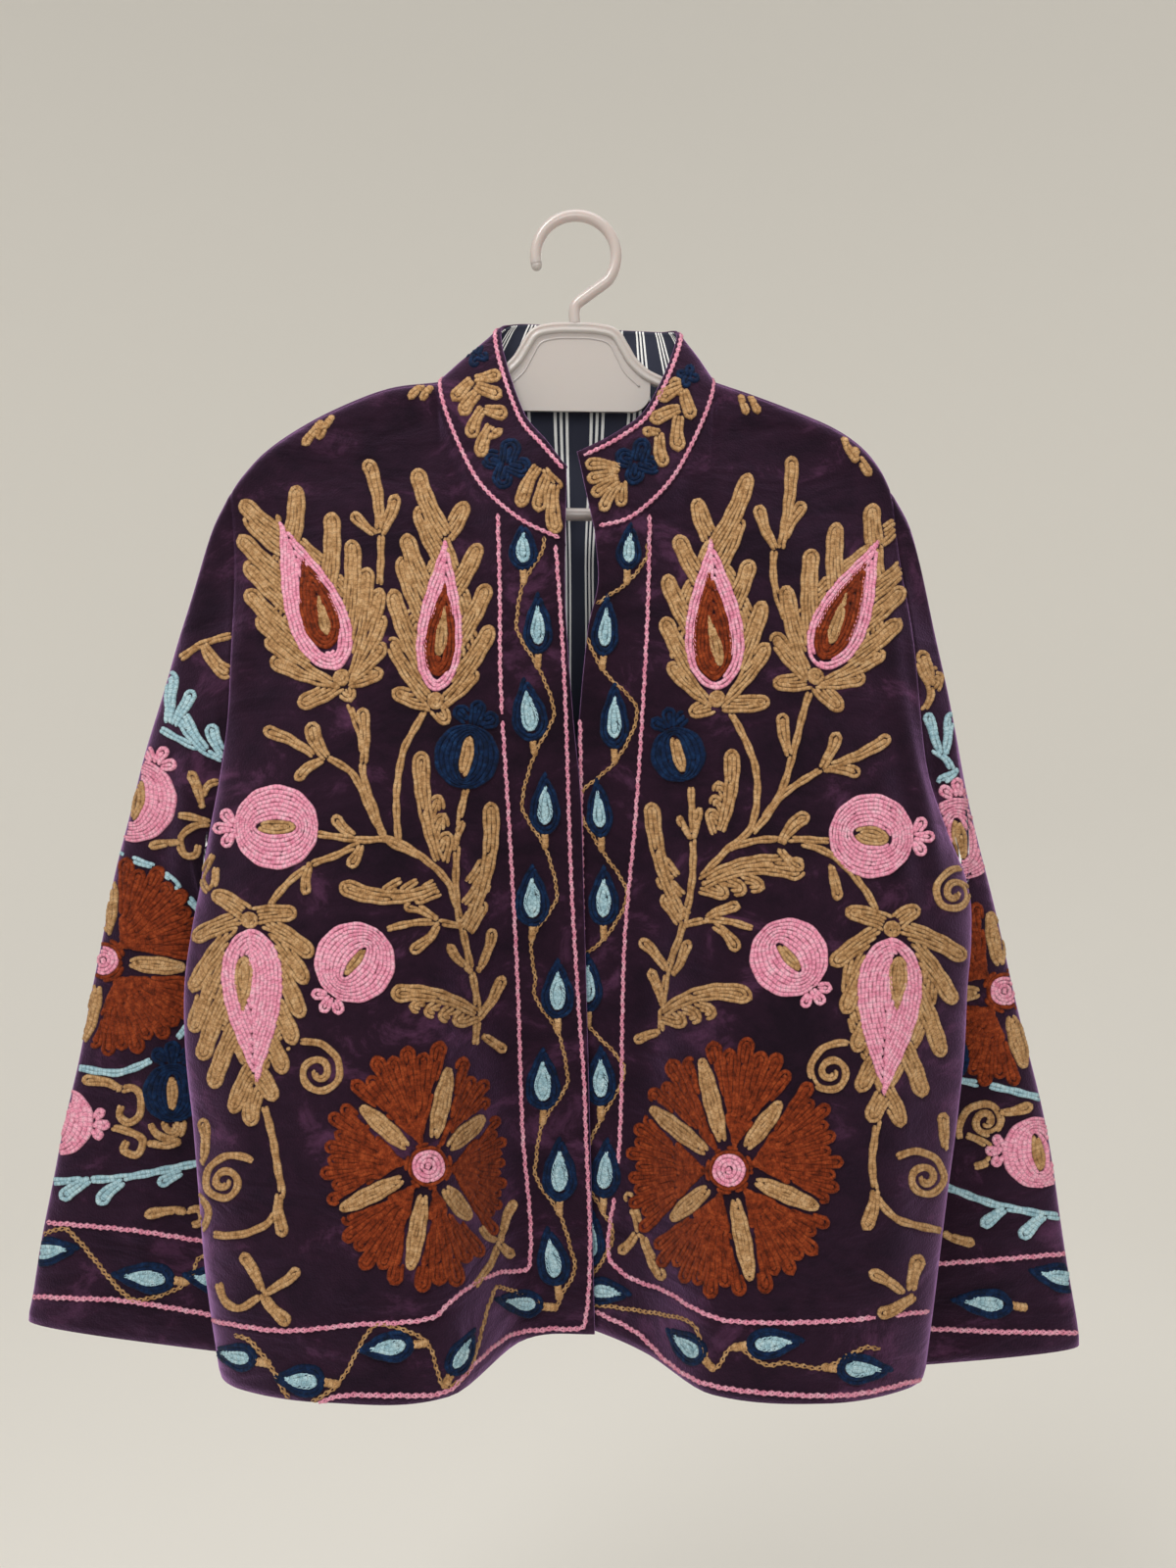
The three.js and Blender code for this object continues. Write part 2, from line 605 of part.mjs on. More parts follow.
function hangerGeometry() {
  const pieces = [hangerArms(), hangerBar(), hangerPlate(), hangerHook()].map(toSolid);
  const { vertProperties, triVerts } = pieces.reduce((whole, piece) => whole.add(piece)).getMesh();
  const geometry = new THREE.BufferGeometry();
  geometry.setAttribute("position", new THREE.BufferAttribute(vertProperties, 3));
  geometry.setIndex(new THREE.BufferAttribute(triVerts, 1));
  geometry.computeVertexNormals();
  return geometry;
}

function namedMesh(name, geometry, colour) {
  const mesh = new THREE.Mesh(geometry, new THREE.MeshStandardMaterial(colour));
  mesh.name = name;
  return mesh;
}

function jacket() {
  const leftFront = frontColumns("left");
  const rightFront = frontColumns("right");
  const back = backColumns();
  const leftRing = armhole(leftFront.at(-1), back.at(0));
  const rightRing = armhole(rightFront.at(-1), back.at(-1));
  const panels = [
    makePanel("front_left", leftFront, { outward: 1 }),
    makePanel("front_right", rightFront, { outward: -1 }),
    makePanel("back", back, { outward: 1 }),
    makePanel("collar", collarColumns(), { outward: -1 }),
    makePanel("sleeve_left", sleeveColumns("left", leftRing), { closed: true, outward: -1 }),
    makePanel("sleeve_right", sleeveColumns("right", rightRing), { closed: true, outward: 1 }),
  ];
  mitreSeams(panels);

  const group = new THREE.Group();
  const liningTop = WALL + LINING_CLEARANCE;
  for (const panel of panels) {
    const sewn = drawBack(panel, SEAM_GAP / 2);
    group.add(namedMesh(panel.name, clothWall(sewn, 0, WALL), COLOURS.velvet));
    if (panel.name === "back" || panel.name === "collar") {
      const lining = clothWall(drawBack(panel, SEAM_GAP), liningTop, liningTop + LINING_WALL);
      group.add(namedMesh(panel.name + "_lining", lining, COLOURS.lining));
    }
  }
  return group;
}

const part = new THREE.Group();
const hanger = namedMesh("hanger", hangerGeometry(), COLOURS.plastic);
hanger.rotation.y = HANGER_TILT;
part.add(jacket(), hanger);

export default part;
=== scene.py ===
"""A velvet suzani jacket with chain-stitch embroidery, hanging on its plastic hanger in a pale studio.

The cloth is worked out in millimetres in the part's own frame: +X right, +Y towards the wall, +Z up from the
inside of the hanger's hook. Meshes are made in metres.
"""

import math

import bmesh
import bpy
import numpy as np
from mathutils import Matrix, Vector
from mathutils.bvhtree import BVHTree


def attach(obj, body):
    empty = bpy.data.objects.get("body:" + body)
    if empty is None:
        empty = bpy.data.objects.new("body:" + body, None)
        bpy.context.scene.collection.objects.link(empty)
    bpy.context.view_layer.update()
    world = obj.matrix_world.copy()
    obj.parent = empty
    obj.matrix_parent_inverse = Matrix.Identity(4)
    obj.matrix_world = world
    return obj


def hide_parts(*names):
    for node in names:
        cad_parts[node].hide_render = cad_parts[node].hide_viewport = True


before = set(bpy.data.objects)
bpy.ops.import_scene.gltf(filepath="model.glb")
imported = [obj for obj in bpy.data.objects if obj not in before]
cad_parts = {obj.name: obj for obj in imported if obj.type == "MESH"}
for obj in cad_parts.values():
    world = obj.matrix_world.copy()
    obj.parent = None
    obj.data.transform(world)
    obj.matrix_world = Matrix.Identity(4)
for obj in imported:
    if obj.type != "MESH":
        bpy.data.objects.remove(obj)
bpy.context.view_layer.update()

MM = 0.001

# Camera: where the photograph was taken from, and its focal length in the photograph's pixels
CAMERA_MM = np.array([7.4, -744.0, -356.0])
PHOTO_WIDTH = 1200
PHOTO_HEIGHT = 1600
FOCAL_PIXELS = 1200
SENSOR = 36.0
MM_PER_PIXEL = 0.62

# Cloth
WALL = 1.8
LINING_WALL = 1.0
LINING_CLEARANCE = 0.4
ROLL_RADIUS = 10
SETTLE = 110
SHORTEST_LEAD = 8
PUFF = 0.7
PUFF_REACH = 1.8
RIM_ROUNDING = 0.6
LINING_ROUNDING = 0.2

# Heights of the construction lines below the hook
NECK_POINT_Z = -105
SHOULDER_TIP_Z = -173
HEM_Z = -709
FRONT_EDGE_LIFT = 5
SHOULDER_SEAM_Y = -6

# Divisions of the cut that the frame's panels share
NECK_SHARE = 1 / 3
SIDE_ROUNDNESS = 6
FRONT_LEAD_STEPS = 2
BACK_LEAD_STEPS = 4
DROP_STEPS = 22
UNDERARM_STEP = 10
SLEEVE_EASE = 0.2
SLEEVE_END_BLUNTNESS = 0.75
SLEEVE_FLATNESS = 0.6
ARMHOLE_FRONT_BULGE = 11
ARMHOLE_BACK_BULGE = 13
BACK_CENTRE_TURN = 0.5

# How the smaller folds fade near their own ends, and near the borders of their panel
FOLD_ENDS = 1.25
FOLD_FADE = 22

# Divisions of the panels' grids, closer together beside each seam
SEAM_STEPS = (0.04, 0.12, 0.28)
LEAD_SPACING = 0.5
DROP_SPACING = 0.2
FRONT_EDGE_SHARES = (0, 0.003, 0.009)
FRONT_NECK_SHARES = np.linspace(0.02, NECK_SHARE, 17)
BACK_NECK_SHARES = np.linspace(0, NECK_SHARE, 20)
OUTER_SHARES = (*np.linspace(0.35, 0.985, 38), 0.992, 0.997, 1)
SLEEVE_DOWNS = (0, 0.002, 0.006, 0.012, *np.linspace(0.02, 1, 96))
COLLAR_TURNS = (
    *(0, 0.004, 0.01),
    *np.linspace(0.02, NECK_SHARE, 24, endpoint=False),
    *np.linspace(NECK_SHARE, 1 - NECK_SHARE, 36, endpoint=False),
    *np.linspace(1 - NECK_SHARE, 0.98, 24),
    *(0.99, 0.996, 1),
)
COLLAR_RISES = (0, 0.02, 0.05, *np.linspace(0.1, 0.92, 10), 0.96, 1)


def table(columns, *rows):
    """A short table with named columns."""
    return dict(zip(columns.split(), np.array(rows, float).T))


def stacked(*columns):
    return np.stack(columns, axis=-1)


def rows_in(rows):
    """A table's rows, one after another."""
    return zip(*rows.values())


def points_in(rows):
    """A table's rows as an array."""
    return stacked(*rows.values())


OPENING = table(
    "z left right",
    (-205, -6.5, 12),
    (-235, -7, 14),
    (-262, -6, 8),
    (-320, -1.5, 2),
    (-360, 2.5, -1),
    (-420, 4.5, -1),
    (-540, 7.5, 0),
    (-709, 11.5, 1.5),
)
EDGE = table(
    "z left right",
    (-173, -216, 197),
    (-215, -213, 201.5),
    (-258, -212, 207),
    (-310, -213, 211),
    (-350, -218, 216),
    (-385, -225, 228),
    (-420, -232, 242),
    (-450, -236, 242),
    (-480, -238, 238),
    (-520, -236, 235),
    (-560, -231, 230),
    (-600, -227, 224),
    (-650, -222, 217),
    (-709, -213, 209),
)
SIDE_SEAM = table("z y", (-420, -14), (-480, -26), (-560, -31), (-640, -34), (-709, -36))
FRONT_LINES = {"edge": 0, "border": 0.17, "fold": 0.31, "middle": 0.58, "flank": 0.82}
FRONT_COLUMNS = "z edge border fold middle flank"
FRONT_DEPTH = {
    "left": table(
        FRONT_COLUMNS,
        (-215, -42, -36, -30, -24, -18),
        (-300, -38, -38, -40, -38, -28),
        (-410, -25, -32, -50, -50, -36),
        (-510, -15, -19, -58, -62, -46),
        (-610, -8, -9, -63, -69, -54),
        (-709, 0, -3, -66, -73, -58),
    ),
    "right": table(
        FRONT_COLUMNS,
        (-215, -40, -34, -29, -24, -18),
        (-300, -34, -38, -40, -38, -28),
        (-410, -19, -32, -50, -50, -36),
        (-510, -7, -21, -56, -62, -46),
        (-610, 3, -20, -61, -69, -54),
        (-709, 13, -20, -64, -74, -58),
    ),
}
BACK_LINES = {"centre": 0, "inner": 0.3, "outer": 0.6, "flank": 0.82}
BACK_DEPTH = table(
    "z centre inner outer flank",
    (-130, 20, 18, 14, 12),
    (-300, 20, 19, 16, 13),
    (-420, 20, 18, 9, -1),
    (-520, 20, 16, 4, -12),
    (-620, 21, 15, 1, -17),
    (-709, 22, 15, -1, -20),
)
SHOULDER = table(
    "share left right",
    (0, 0, 0),
    (0.24, 4, 9),
    (0.5, 17, 20),
    (0.7, 31, 30),
    (0.85, 45, 42),
    (0.95, 59, 56),
    (1, 68, 68),
)
COLLAR = table(
    "turn seam_x seam_y seam_z edge_x edge_y edge_z",
    (0, -6.5, -43, -213, -6, -39, -165),
    (0.1, -37, -37, -197, -18, -33, -148),
    (0.2, -65, -23, -166, -33, -21, -126),
    (1 / 3, -87, -6, -105, -48, -1, -72),
    (0.42, -60, 16, -108, -38, 14, -60),
    (0.5, 0, 22, -111, 8, 20, -61),
    (0.58, 60, 16, -108, 52, 15, -65),
    (2 / 3, 87, -6, -105, 64, 0, -72),
    (0.8, 64, -23, -164, 45, -22, -123),
    (0.9, 36, -36, -196, 26, -32, -142),
    (1, 12, -41, -204.5, 1.5, -40, -157),
)
SLEEVE_COLUMNS = "down top_x top_y top_z under_x under_y under_z thick"
SLEEVE = {
    "left": table(
        SLEEVE_COLUMNS,
        (0, -216, 0, -173, -232, -14, -420, 34),
        (0.06, -228, 1, -198, -233, -9, -423, 36),
        (0.15, -245, 3, -252, -234, -1, -429, 38),
        (0.3, -271, 7, -331, -232, 8, -442, 40),
        (0.42, -288, 10, -395, -220, 14, -466, 37),
        (0.55, -304, 12, -463, -188, 16, -520, 33),
        (0.7, -321, 13, -542, -153, 17, -590, 30),
        (0.85, -337, 14, -621, -146, 17, -660, 27),
        (1, -352, 14, -700, -160, 17, -726, 25),
    ),
    "right": table(
        SLEEVE_COLUMNS,
        (0, 197, 0, -173, 242, -14, -420, 34),
        (0.06, 210, 1, -198, 245, -7, -424, 36),
        (0.15, 223, 3, -254, 246, 3, -431, 38),
        (0.3, 240, 7, -336, 241, 12, -444, 40),
        (0.42, 257, 10, -401, 227, 17, -468, 37),
        (0.55, 275, 12, -472, 193, 17, -522, 33),
        (0.7, 295, 13, -554, 151, 17, -597, 30),
        (0.85, 310, 14, -635, 135, 17, -670, 27),
        (1, 323, 14, -716, 131, 17, -733, 25),
    ),
}

# Slight waves all over the cloth, by their height and their lengths across and down it
RIPPLES = table("height across down start", (0.5, 21, 47, 0), (0.4, 33, -26, 1.3), (0.25, 11, 17, 2.1))

# Smaller folds that the cloth falls into, each a soft ridge from one place to another
FOLD_COLUMNS = "x z to_x to_z height width"
FOLDS = {
    "front_left": table(
        FOLD_COLUMNS,
        (-200, -190, -216, -330, 2.5, 9),
        (-216, -330, -222, -430, 2.0, 7),
        (-92, -420, -84, -705, 3.0, 13),
        (-205, -420, -190, -700, 2.0, 16),
    ),
    "front_right": table(
        FOLD_COLUMNS,
        (186, -190, 198, -330, 2.5, 9),
        (196, -300, 222, -440, 3.5, 8),
        (180, -330, 205, -480, 2.5, 9),
        (65, -420, 58, -600, 2.5, 12),
        (190, -500, 180, -705, 2.0, 14),
    ),
    "back": table(
        FOLD_COLUMNS,
        (-150, -250, -120, -700, 3.0, 26),
        (140, -240, 110, -700, 3.0, 26),
        (10, -300, 0, -705, 2.5, 30),
    ),
    "sleeve_left": table(
        FOLD_COLUMNS,
        (-232, -300, -262, -520, 2.5, 9),
        (-262, -470, -275, -700, 2.0, 12),
        (-210, -520, -205, -700, 2.0, 12),
    ),
    "sleeve_right": table(
        FOLD_COLUMNS,
        (228, -290, 250, -520, 2.5, 8),
        (232, -480, 240, -710, 2.0, 12),
        (190, -540, 180, -710, 2.0, 12),
    ),
    "collar": table(FOLD_COLUMNS, (-42, -110, -28, -140, -1.5, 7)),
}


def curve(knots, values, at):
    """Reads a smooth curve through the values at the knots. There may be an array of values at each knot."""
    knots = np.asarray(knots, float)
    values = np.asarray(values, float)
    order = np.arange(len(knots))
    before = np.maximum(order - 1, 0)
    after = np.minimum(order + 1, len(knots) - 1)
    spread = (knots[after] - knots[before]).reshape((-1,) + (1,) * (values.ndim - 1))
    slopes = (values[after] - values[before]) / spread
    at = np.clip(at, knots[0], knots[-1])
    i = np.clip(np.searchsorted(knots, at, side="right") - 1, 0, len(knots) - 2)
    span = knots[i + 1] - knots[i]
    t = (at - knots[i]) / span
    return (
        values[i] * (1 + 2 * t) * (1 - t) ** 2
        + values[i + 1] * t**2 * (3 - 2 * t)
        + slopes[i] * span * t * (1 - t) ** 2
        - slopes[i + 1] * span * t**2 * (1 - t)
    )


def read(rows, by, column, at):
    """Reads a table's column where another column stands at a value."""
    sense = np.sign(rows[by][-1] - rows[by][0])
    return curve(rows[by] * sense, rows[column], np.asarray(at, float) * sense)


def read_point(rows, by, name, at):
    return stacked(*(read(rows, by, name + axis, at) for axis in ("_x", "_y", "_z")))


def settle(share):
    share = np.clip(share, 0, 1)
    return share**2 * (3 - 2 * share)


def lerp(a, b, t):
    return a + (b - a) * t


def half_width_share(u):
    return (u * SIDE_ROUNDNESS - u**SIDE_ROUNDNESS) / (SIDE_ROUNDNESS - 1)


def shoulder_share(u):
    start = half_width_share(NECK_SHARE)
    return (half_width_share(u) - start) / (1 - start)


def collar_point(line, turn):
    return read_point(COLLAR, "turn", line, turn)


def top_point(side, u, turn_at_centre):
    """Top edge of a front or of half the back: along the neck, then out along the shoulder seam."""
    turn_at_neck = NECK_SHARE if side == "left" else 1 - NECK_SHARE
    if u <= NECK_SHARE:
        return collar_point("seam", lerp(turn_at_centre, turn_at_neck, u / NECK_SHARE))
    share = shoulder_share(u)
    neck_x = collar_point("seam", turn_at_neck)[0]
    tip_x = read(EDGE, "z", side, SHOULDER_TIP_Z)
    fall = read(SHOULDER, "share", side, share)
    return np.array([lerp(neck_x, tip_x, share), SHOULDER_SEAM_Y, NECK_POINT_Z - fall])


TIP_AXIS_Z = SHOULDER_TIP_Z - ROLL_RADIUS * math.cos(math.asin(SHOULDER_SEAM_Y / ROLL_RADIUS))
UNDERARM_Z = lerp(TIP_AXIS_Z, HEM_Z, UNDERARM_STEP / DROP_STEPS)


def edge_depth(facing, z):
    """Depth of the body's outer edge: the armhole, where front and back part, and the side seam below it."""
    underarm_y = read(SIDE_SEAM, "z", "y", UNDERARM_Z)
    up = np.clip((z - UNDERARM_Z) / (SHOULDER_TIP_Z - ROLL_RADIUS - UNDERARM_Z), 0, 1)
    bulge = ARMHOLE_FRONT_BULGE if facing < 0 else ARMHOLE_BACK_BULGE
    armhole_y = lerp(underarm_y, facing * ROLL_RADIUS, up) + facing * bulge * np.sin(np.pi * up)
    return np.where(z <= UNDERARM_Z, read(SIDE_SEAM, "z", "y", z), armhole_y)


def panel_depth(rows, lines, facing, u, z):
    values = [read(rows, "z", line, z) for line in lines]
    values.append(edge_depth(facing, z))
    return curve([*lines.values(), 1], values, u)


def hang_column(top, facing, lead_steps, steps, across_at, depth_at, hem_z):
    """One column of a panel, at the given steps down it: over the hanger's arm, then down to the hem."""
    start = math.asin(np.clip(top[1] / ROLL_RADIUS, -1, 1))
    rolls = abs(top[1]) < ROLL_RADIUS
    axis_z = top[2] - ROLL_RADIUS * math.cos(start) if rolls else top[2]
    roll_length = ROLL_RADIUS * (math.pi / 2 - facing * start) if rolls else 0
    lead_length = max(roll_length, SHORTEST_LEAD)
    hang_y = facing * ROLL_RADIUS if rolls else top[1]
    drop = axis_z - (lead_length - roll_length) - hem_z
    travelled = np.where(
        steps < lead_steps,
        lead_length * steps / lead_steps,
        lead_length + drop * (steps - lead_steps) / DROP_STEPS,
    )
    angle = start + facing * np.minimum(travelled, roll_length) / ROLL_RADIUS
    fallen = travelled - roll_length
    z = axis_z - fallen
    hung = settle(fallen / SETTLE)
    x = across_at(z) + (top[0] - across_at(top[2])) * (1 - hung)
    y = lerp(hang_y, depth_at(z), hung)
    rolling = travelled < roll_length
    return stacked(
        np.where(rolling, top[0], x),
        np.where(rolling, ROLL_RADIUS * np.sin(angle), y),
        np.where(rolling, axis_z + ROLL_RADIUS * np.cos(angle), z),
    )


def front_surface(side, shares, steps):
    turn_at_centre = 0 if side == "left" else 1
    columns = []
    for u in shares:
        hem_z = HEM_Z + FRONT_EDGE_LIFT * (1 - settle(u / FRONT_LINES["fold"]))

        def across_at(z, u=u):
            return lerp(read(OPENING, "z", side, z), read(EDGE, "z", side, z), half_width_share(u))

        def depth_at(z, u=u):
            return panel_depth(FRONT_DEPTH[side], FRONT_LINES, -1, u, z)

        top = top_point(side, u, turn_at_centre)
        columns.append(hang_column(top, -1, FRONT_LEAD_STEPS, steps, across_at, depth_at, hem_z))
    return np.array(columns)


def half_back_surface(side, shares, steps):
    columns = []
    for u in shares:

        def across_at(z, u=u):
            return read(EDGE, "z", side, z) * half_width_share(u)

        def depth_at(z, u=u):
            return panel_depth(BACK_DEPTH, BACK_LINES, 1, u, z)

        top = top_point(side, u, BACK_CENTRE_TURN)
        columns.append(hang_column(top, 1, BACK_LEAD_STEPS, steps, across_at, depth_at, HEM_Z))
    return np.array(columns)


def sleeve_ring(rows, down, turned):
    """A flattened ring of the hanging sleeve, from the fold along its top round the front."""
    top = read_point(rows, "down", "top", down)
    under = read_point(rows, "down", "under", down)
    cosine = np.cos(np.pi * turned)
    sine = np.sin(np.pi * turned)
    along = (1 - np.sign(cosine) * np.abs(cosine) ** SLEEVE_END_BLUNTNESS) / 2
    out = np.sign(sine) * np.abs(sine) ** SLEEVE_FLATNESS
    points = lerp(top, under, along[:, None])
    points[:, 1] -= out * read(rows, "down", "thick", down) / 2
    return points


def sleeve_surface(side, armhole, turned, downs):
    rows = SLEEVE[side]
    first = sleeve_ring(rows, 0, turned)
    rings = [
        sleeve_ring(rows, down, turned) + (armhole - first) * (1 - settle(down / SLEEVE_EASE))
        for down in downs
    ]
    return np.array(rings).transpose(1, 0, 2)


def unit(vectors):
    return vectors / np.maximum(np.linalg.norm(vectors, axis=-1, keepdims=True), 1e-9)


def grid_normals(points, closed, outward):
    if closed:
        across = np.roll(points, -1, axis=0) - np.roll(points, 1, axis=0)
    else:
        across = np.gradient(points, axis=0)
    along = np.gradient(points, axis=1)
    return unit(np.cross(across, along)) * outward


def lengths_along(points, axis=0):
    """The length from the first point to each of the others, along one axis of an array of points."""
    lengths = np.linalg.norm(np.diff(points, axis=axis), axis=-1).cumsum(axis)
    return np.pad(lengths, [(int(i == axis), 0) for i in range(lengths.ndim)])


def distance_from_borders(points, closed):
    """Distance along the cloth from each point to the nearest side of its panel."""
    down = lengths_along(points, 1)
    nearest = np.minimum(down, down[:, -1:] - down)
    if not closed:
        over = lengths_along(points)
        nearest = np.minimum(nearest, np.minimum(over, over[-1:] - over))
    return nearest


def fold_height(name, points):
    """How far the cloth stands out at each point in its smaller folds."""
    x, z = points[..., 0], points[..., 2]
    height = 0
    for ripple, across, down, start in rows_in(RIPPLES):
        height = height + ripple * np.sin(x / across + z / down + start)
    for x0, z0, x1, z1, rise, width in rows_in(FOLDS[name]):
        length = math.hypot(x1 - x0, z1 - z0)
        share = ((x - x0) * (x1 - x0) + (z - z0) * (z1 - z0)) / length**2
        aside = ((x - x0) * (z1 - z0) - (z - z0) * (x1 - x0)) / length
        fade = settle(FOLD_ENDS - np.abs(share - 0.5) * 2)
        height = height + rise * fade * np.exp(-((aside / width) ** 2))
    return height


class Panel:
    """A cloth panel as a fine grid of points with outward normals."""

    def __init__(self, name, points, outward, closed=False):
        self.name = name
        self.closed = closed
        normals = grid_normals(points, closed, outward)
        inside = distance_from_borders(points, closed)
        puff = PUFF * (1 - np.exp(-((inside / PUFF_REACH) ** 2)))
        folds = fold_height(name, points) * settle(inside / FOLD_FADE)
        self.points = points + normals * (puff + folds)[..., None]
        self.normals = grid_normals(self.points, closed, outward)


def fine_steps(lead_steps):
    """Steps down a panel: over the hanger's arm, then down to the hem."""
    lead = (0, *SEAM_STEPS, *np.arange(LEAD_SPACING, lead_steps, LEAD_SPACING))
    return np.concatenate([lead, lead_steps + np.arange(0, DROP_STEPS + DROP_SPACING / 2, DROP_SPACING)])


front_steps = fine_steps(FRONT_LEAD_STEPS)
back_steps = fine_steps(BACK_LEAD_STEPS)
front_shares = (*FRONT_EDGE_SHARES, *FRONT_NECK_SHARES, *OUTER_SHARES)
back_shares = (*BACK_NECK_SHARES, *OUTER_SHARES)

front_grid = {side: front_surface(side, front_shares, front_steps) for side in ("left", "right")}
half_backs = {side: half_back_surface(side, back_shares, back_steps) for side in ("left", "right")}
back_grid = np.concatenate([half_backs["left"][::-1], half_backs["right"][1:]])


def armhole_ring(side):
    """The armhole round from the shoulder tip: its points, and how far round the sleeve each one lies."""
    front_edge = front_grid[side][-1]
    back_edge = half_backs[side][-1]
    front_turn = front_steps / (FRONT_LEAD_STEPS + UNDERARM_STEP)
    back_turn = 2 - back_steps / (BACK_LEAD_STEPS + UNDERARM_STEP)
    down = front_turn <= 1 + 1e-9
    up = (back_turn > 1 + 1e-9) & (back_turn < 2 - 1e-9)
    points = np.concatenate([front_edge[down], back_edge[up][::-1]])
    return points, np.concatenate([front_turn[down], back_turn[up][::-1]])


def sleeve_grid(side):
    points, turned = armhole_ring(side)
    return sleeve_surface(side, points, turned, SLEEVE_DOWNS)


def collar_grid():
    seam = collar_point("seam", COLLAR_TURNS)[:, None]
    edge = collar_point("edge", COLLAR_TURNS)[:, None]
    return lerp(seam, edge, np.array(COLLAR_RISES)[None, :, None])


panels = {
    panel.name: panel
    for panel in [
        Panel("front_left", front_grid["left"], 1),
        Panel("front_right", front_grid["right"], -1),
        Panel("back", back_grid, 1),
        Panel("sleeve_left", sleeve_grid("left"), -1, closed=True),
        Panel("sleeve_right", sleeve_grid("right"), 1, closed=True),
        Panel("collar", collar_grid(), -1),
    ]
}


def new_object(name, points, faces, materials, face_materials=None, uvs=None, smooth=True):
    """A mesh from points in millimetres. UVs are given for each point."""
    mesh = bpy.data.meshes.new(name)
    mesh.from_pydata((np.asarray(points) * MM).tolist(), [], faces)
    for material in materials:
        mesh.materials.append(material)
    if face_materials is not None:
        mesh.polygons.foreach_set("material_index", face_materials)
    if uvs is not None:
        layer = mesh.uv_layers.new(name="cloth")
        corners = np.empty(len(mesh.loops), np.int32)
        mesh.loops.foreach_get("vertex_index", corners)
        layer.data.foreach_set("uv", np.asarray(uvs, np.float32)[corners].ravel())
    if smooth:
        mesh.polygons.foreach_set("use_smooth", [True] * len(mesh.polygons))
    mesh.update()
    return add_object(name, mesh)


def add_object(name, data):
    obj = bpy.data.objects.new(name, data)
    bpy.context.scene.collection.objects.link(obj)
    return obj


def grid_uvs(points):
    """Lengths along the cloth, in metres, across and down the middle of a panel."""
    across = lengths_along(points[:, points.shape[1] // 2])
    down = lengths_along(points[points.shape[0] // 2])
    return stacked(*np.meshgrid(across * MM, down * MM, indexing="ij"))


def grid_quads(index, rows_close=False, columns_close=False):
    """The faces of a grid of vertex numbers, which may close on itself either way."""
    if rows_close:
        index = np.concatenate([index, index[:1]])
    if columns_close:
        index = np.concatenate([index, index[:, :1]], axis=1)
    return stacked(index[:-1, :-1], index[:-1, 1:], index[1:, 1:], index[1:, :-1]).reshape(-1, 4)


def panel_quads(panel):
    wide, deep = panel.points.shape[:2]
    return grid_quads(np.arange(wide * deep).reshape(wide, deep), panel.closed)[:, [0, 3, 2, 1]]


def cloth_wall(name, panel, materials, outer_depth, inner_depth, rounding):
    """A closed wall of cloth under a panel's outer face, its rim rounded over.

    The inner face has its own material.
    """
    points, normals = panel.points, panel.normals
    wide, deep = points.shape[:2]
    count = wide * deep
    middle = points - normals * (outer_depth + inner_depth) / 2
    faces_points = [points - normals * depth for depth in (outer_depth, inner_depth)]
    index = np.arange(count).reshape(wide, deep)
    if panel.closed:
        loops = [index[:, 0], index[:, -1]]
    else:
        loops = [np.concatenate([index[:, 0], index[-1, 1:], index[-2::-1, -1], index[0, -2:0:-1]])]
    inwards = np.zeros((wide, deep, 3))
    inwards[:, 0] += unit(points[:, 1] - points[:, 0])
    inwards[:, -1] += unit(points[:, -2] - points[:, -1])
    if not panel.closed:
        inwards[0] += unit(points[1] - points[0])
        inwards[-1] += unit(points[-2] - points[-1])
    rim_points = (middle - unit(inwards) * rounding).reshape(-1, 3)
    vertices = [side.reshape(-1, 3) for side in faces_points]
    uvs = grid_uvs(points).reshape(-1, 2)
    all_uvs = [uvs, uvs]
    quads = panel_quads(panel)
    if faces_inwards(panel):
        quads = quads[:, ::-1]
    faces = [*quads.tolist(), *(quads[:, ::-1] + count).tolist()]
    materials_used = [0] * len(quads) + [1] * len(quads)
    start = 2 * count
    for loop in loops:
        vertices.append(rim_points[loop])
        all_uvs.append(uvs[loop])
        n = len(loop)
        for i in range(n):
            j = (i + 1) % n
            a, b = int(loop[i]), int(loop[j])
            faces.append([a, b, start + j, start + i])
            faces.append([start + i, start + j, b + count, a + count])
            materials_used.extend([0, 0])
        start += n
    vertices, all_uvs = np.concatenate(vertices), np.concatenate(all_uvs)
    obj = new_object(name, vertices, faces, materials, materials_used, all_uvs)
    fix_normals(obj)
    return obj


def faces_inwards(panel):
    """Whether faces in the grid's order turn their backs on the panel's outer side."""
    a, b, d = panel.points[3, 3], panel.points[4, 3], panel.points[3, 4]
    return np.dot(np.cross(b - a, d - a), panel.normals[3, 3]) < 0


def fix_normals(obj):
    mesh = bmesh.new()
    mesh.from_mesh(obj.data)
    bmesh.ops.recalc_face_normals(mesh, faces=mesh.faces)
    mesh.to_mesh(obj.data)
    mesh.free()


def linear(red, green, blue):
    """A colour given as it looks on a screen, from 0 to 255, as the shaders want it."""
    shares = np.array([red, green, blue]) / 255
    values = np.where(shares <= 0.04045, shares / 12.92, ((shares + 0.055) / 1.055) ** 2.4)
    return (*values.tolist(), 1.0)


def new_material(name, colour, roughness):
    material = bpy.data.materials.new(name)
    material.use_nodes = True
    shader = material.node_tree.nodes["Principled BSDF"]
    shader.inputs["Base Color"].default_value = colour
    shader.inputs["Roughness"].default_value = roughness
    material.diffuse_color = colour
    return material, material.node_tree, shader


def add_node(tree, kind, **values):
    """A shader node, its settings and its unlinked inputs by name."""
    node = tree.nodes.new(kind)
    for key, value in values.items():
        if hasattr(node, key):
            setattr(node, key, value)
        else:
            set_inputs(node, **{key: value})
    return node


def set_inputs(node, **values):
    for key, value in values.items():
        node.inputs[key.replace("_", " ")].default_value = value


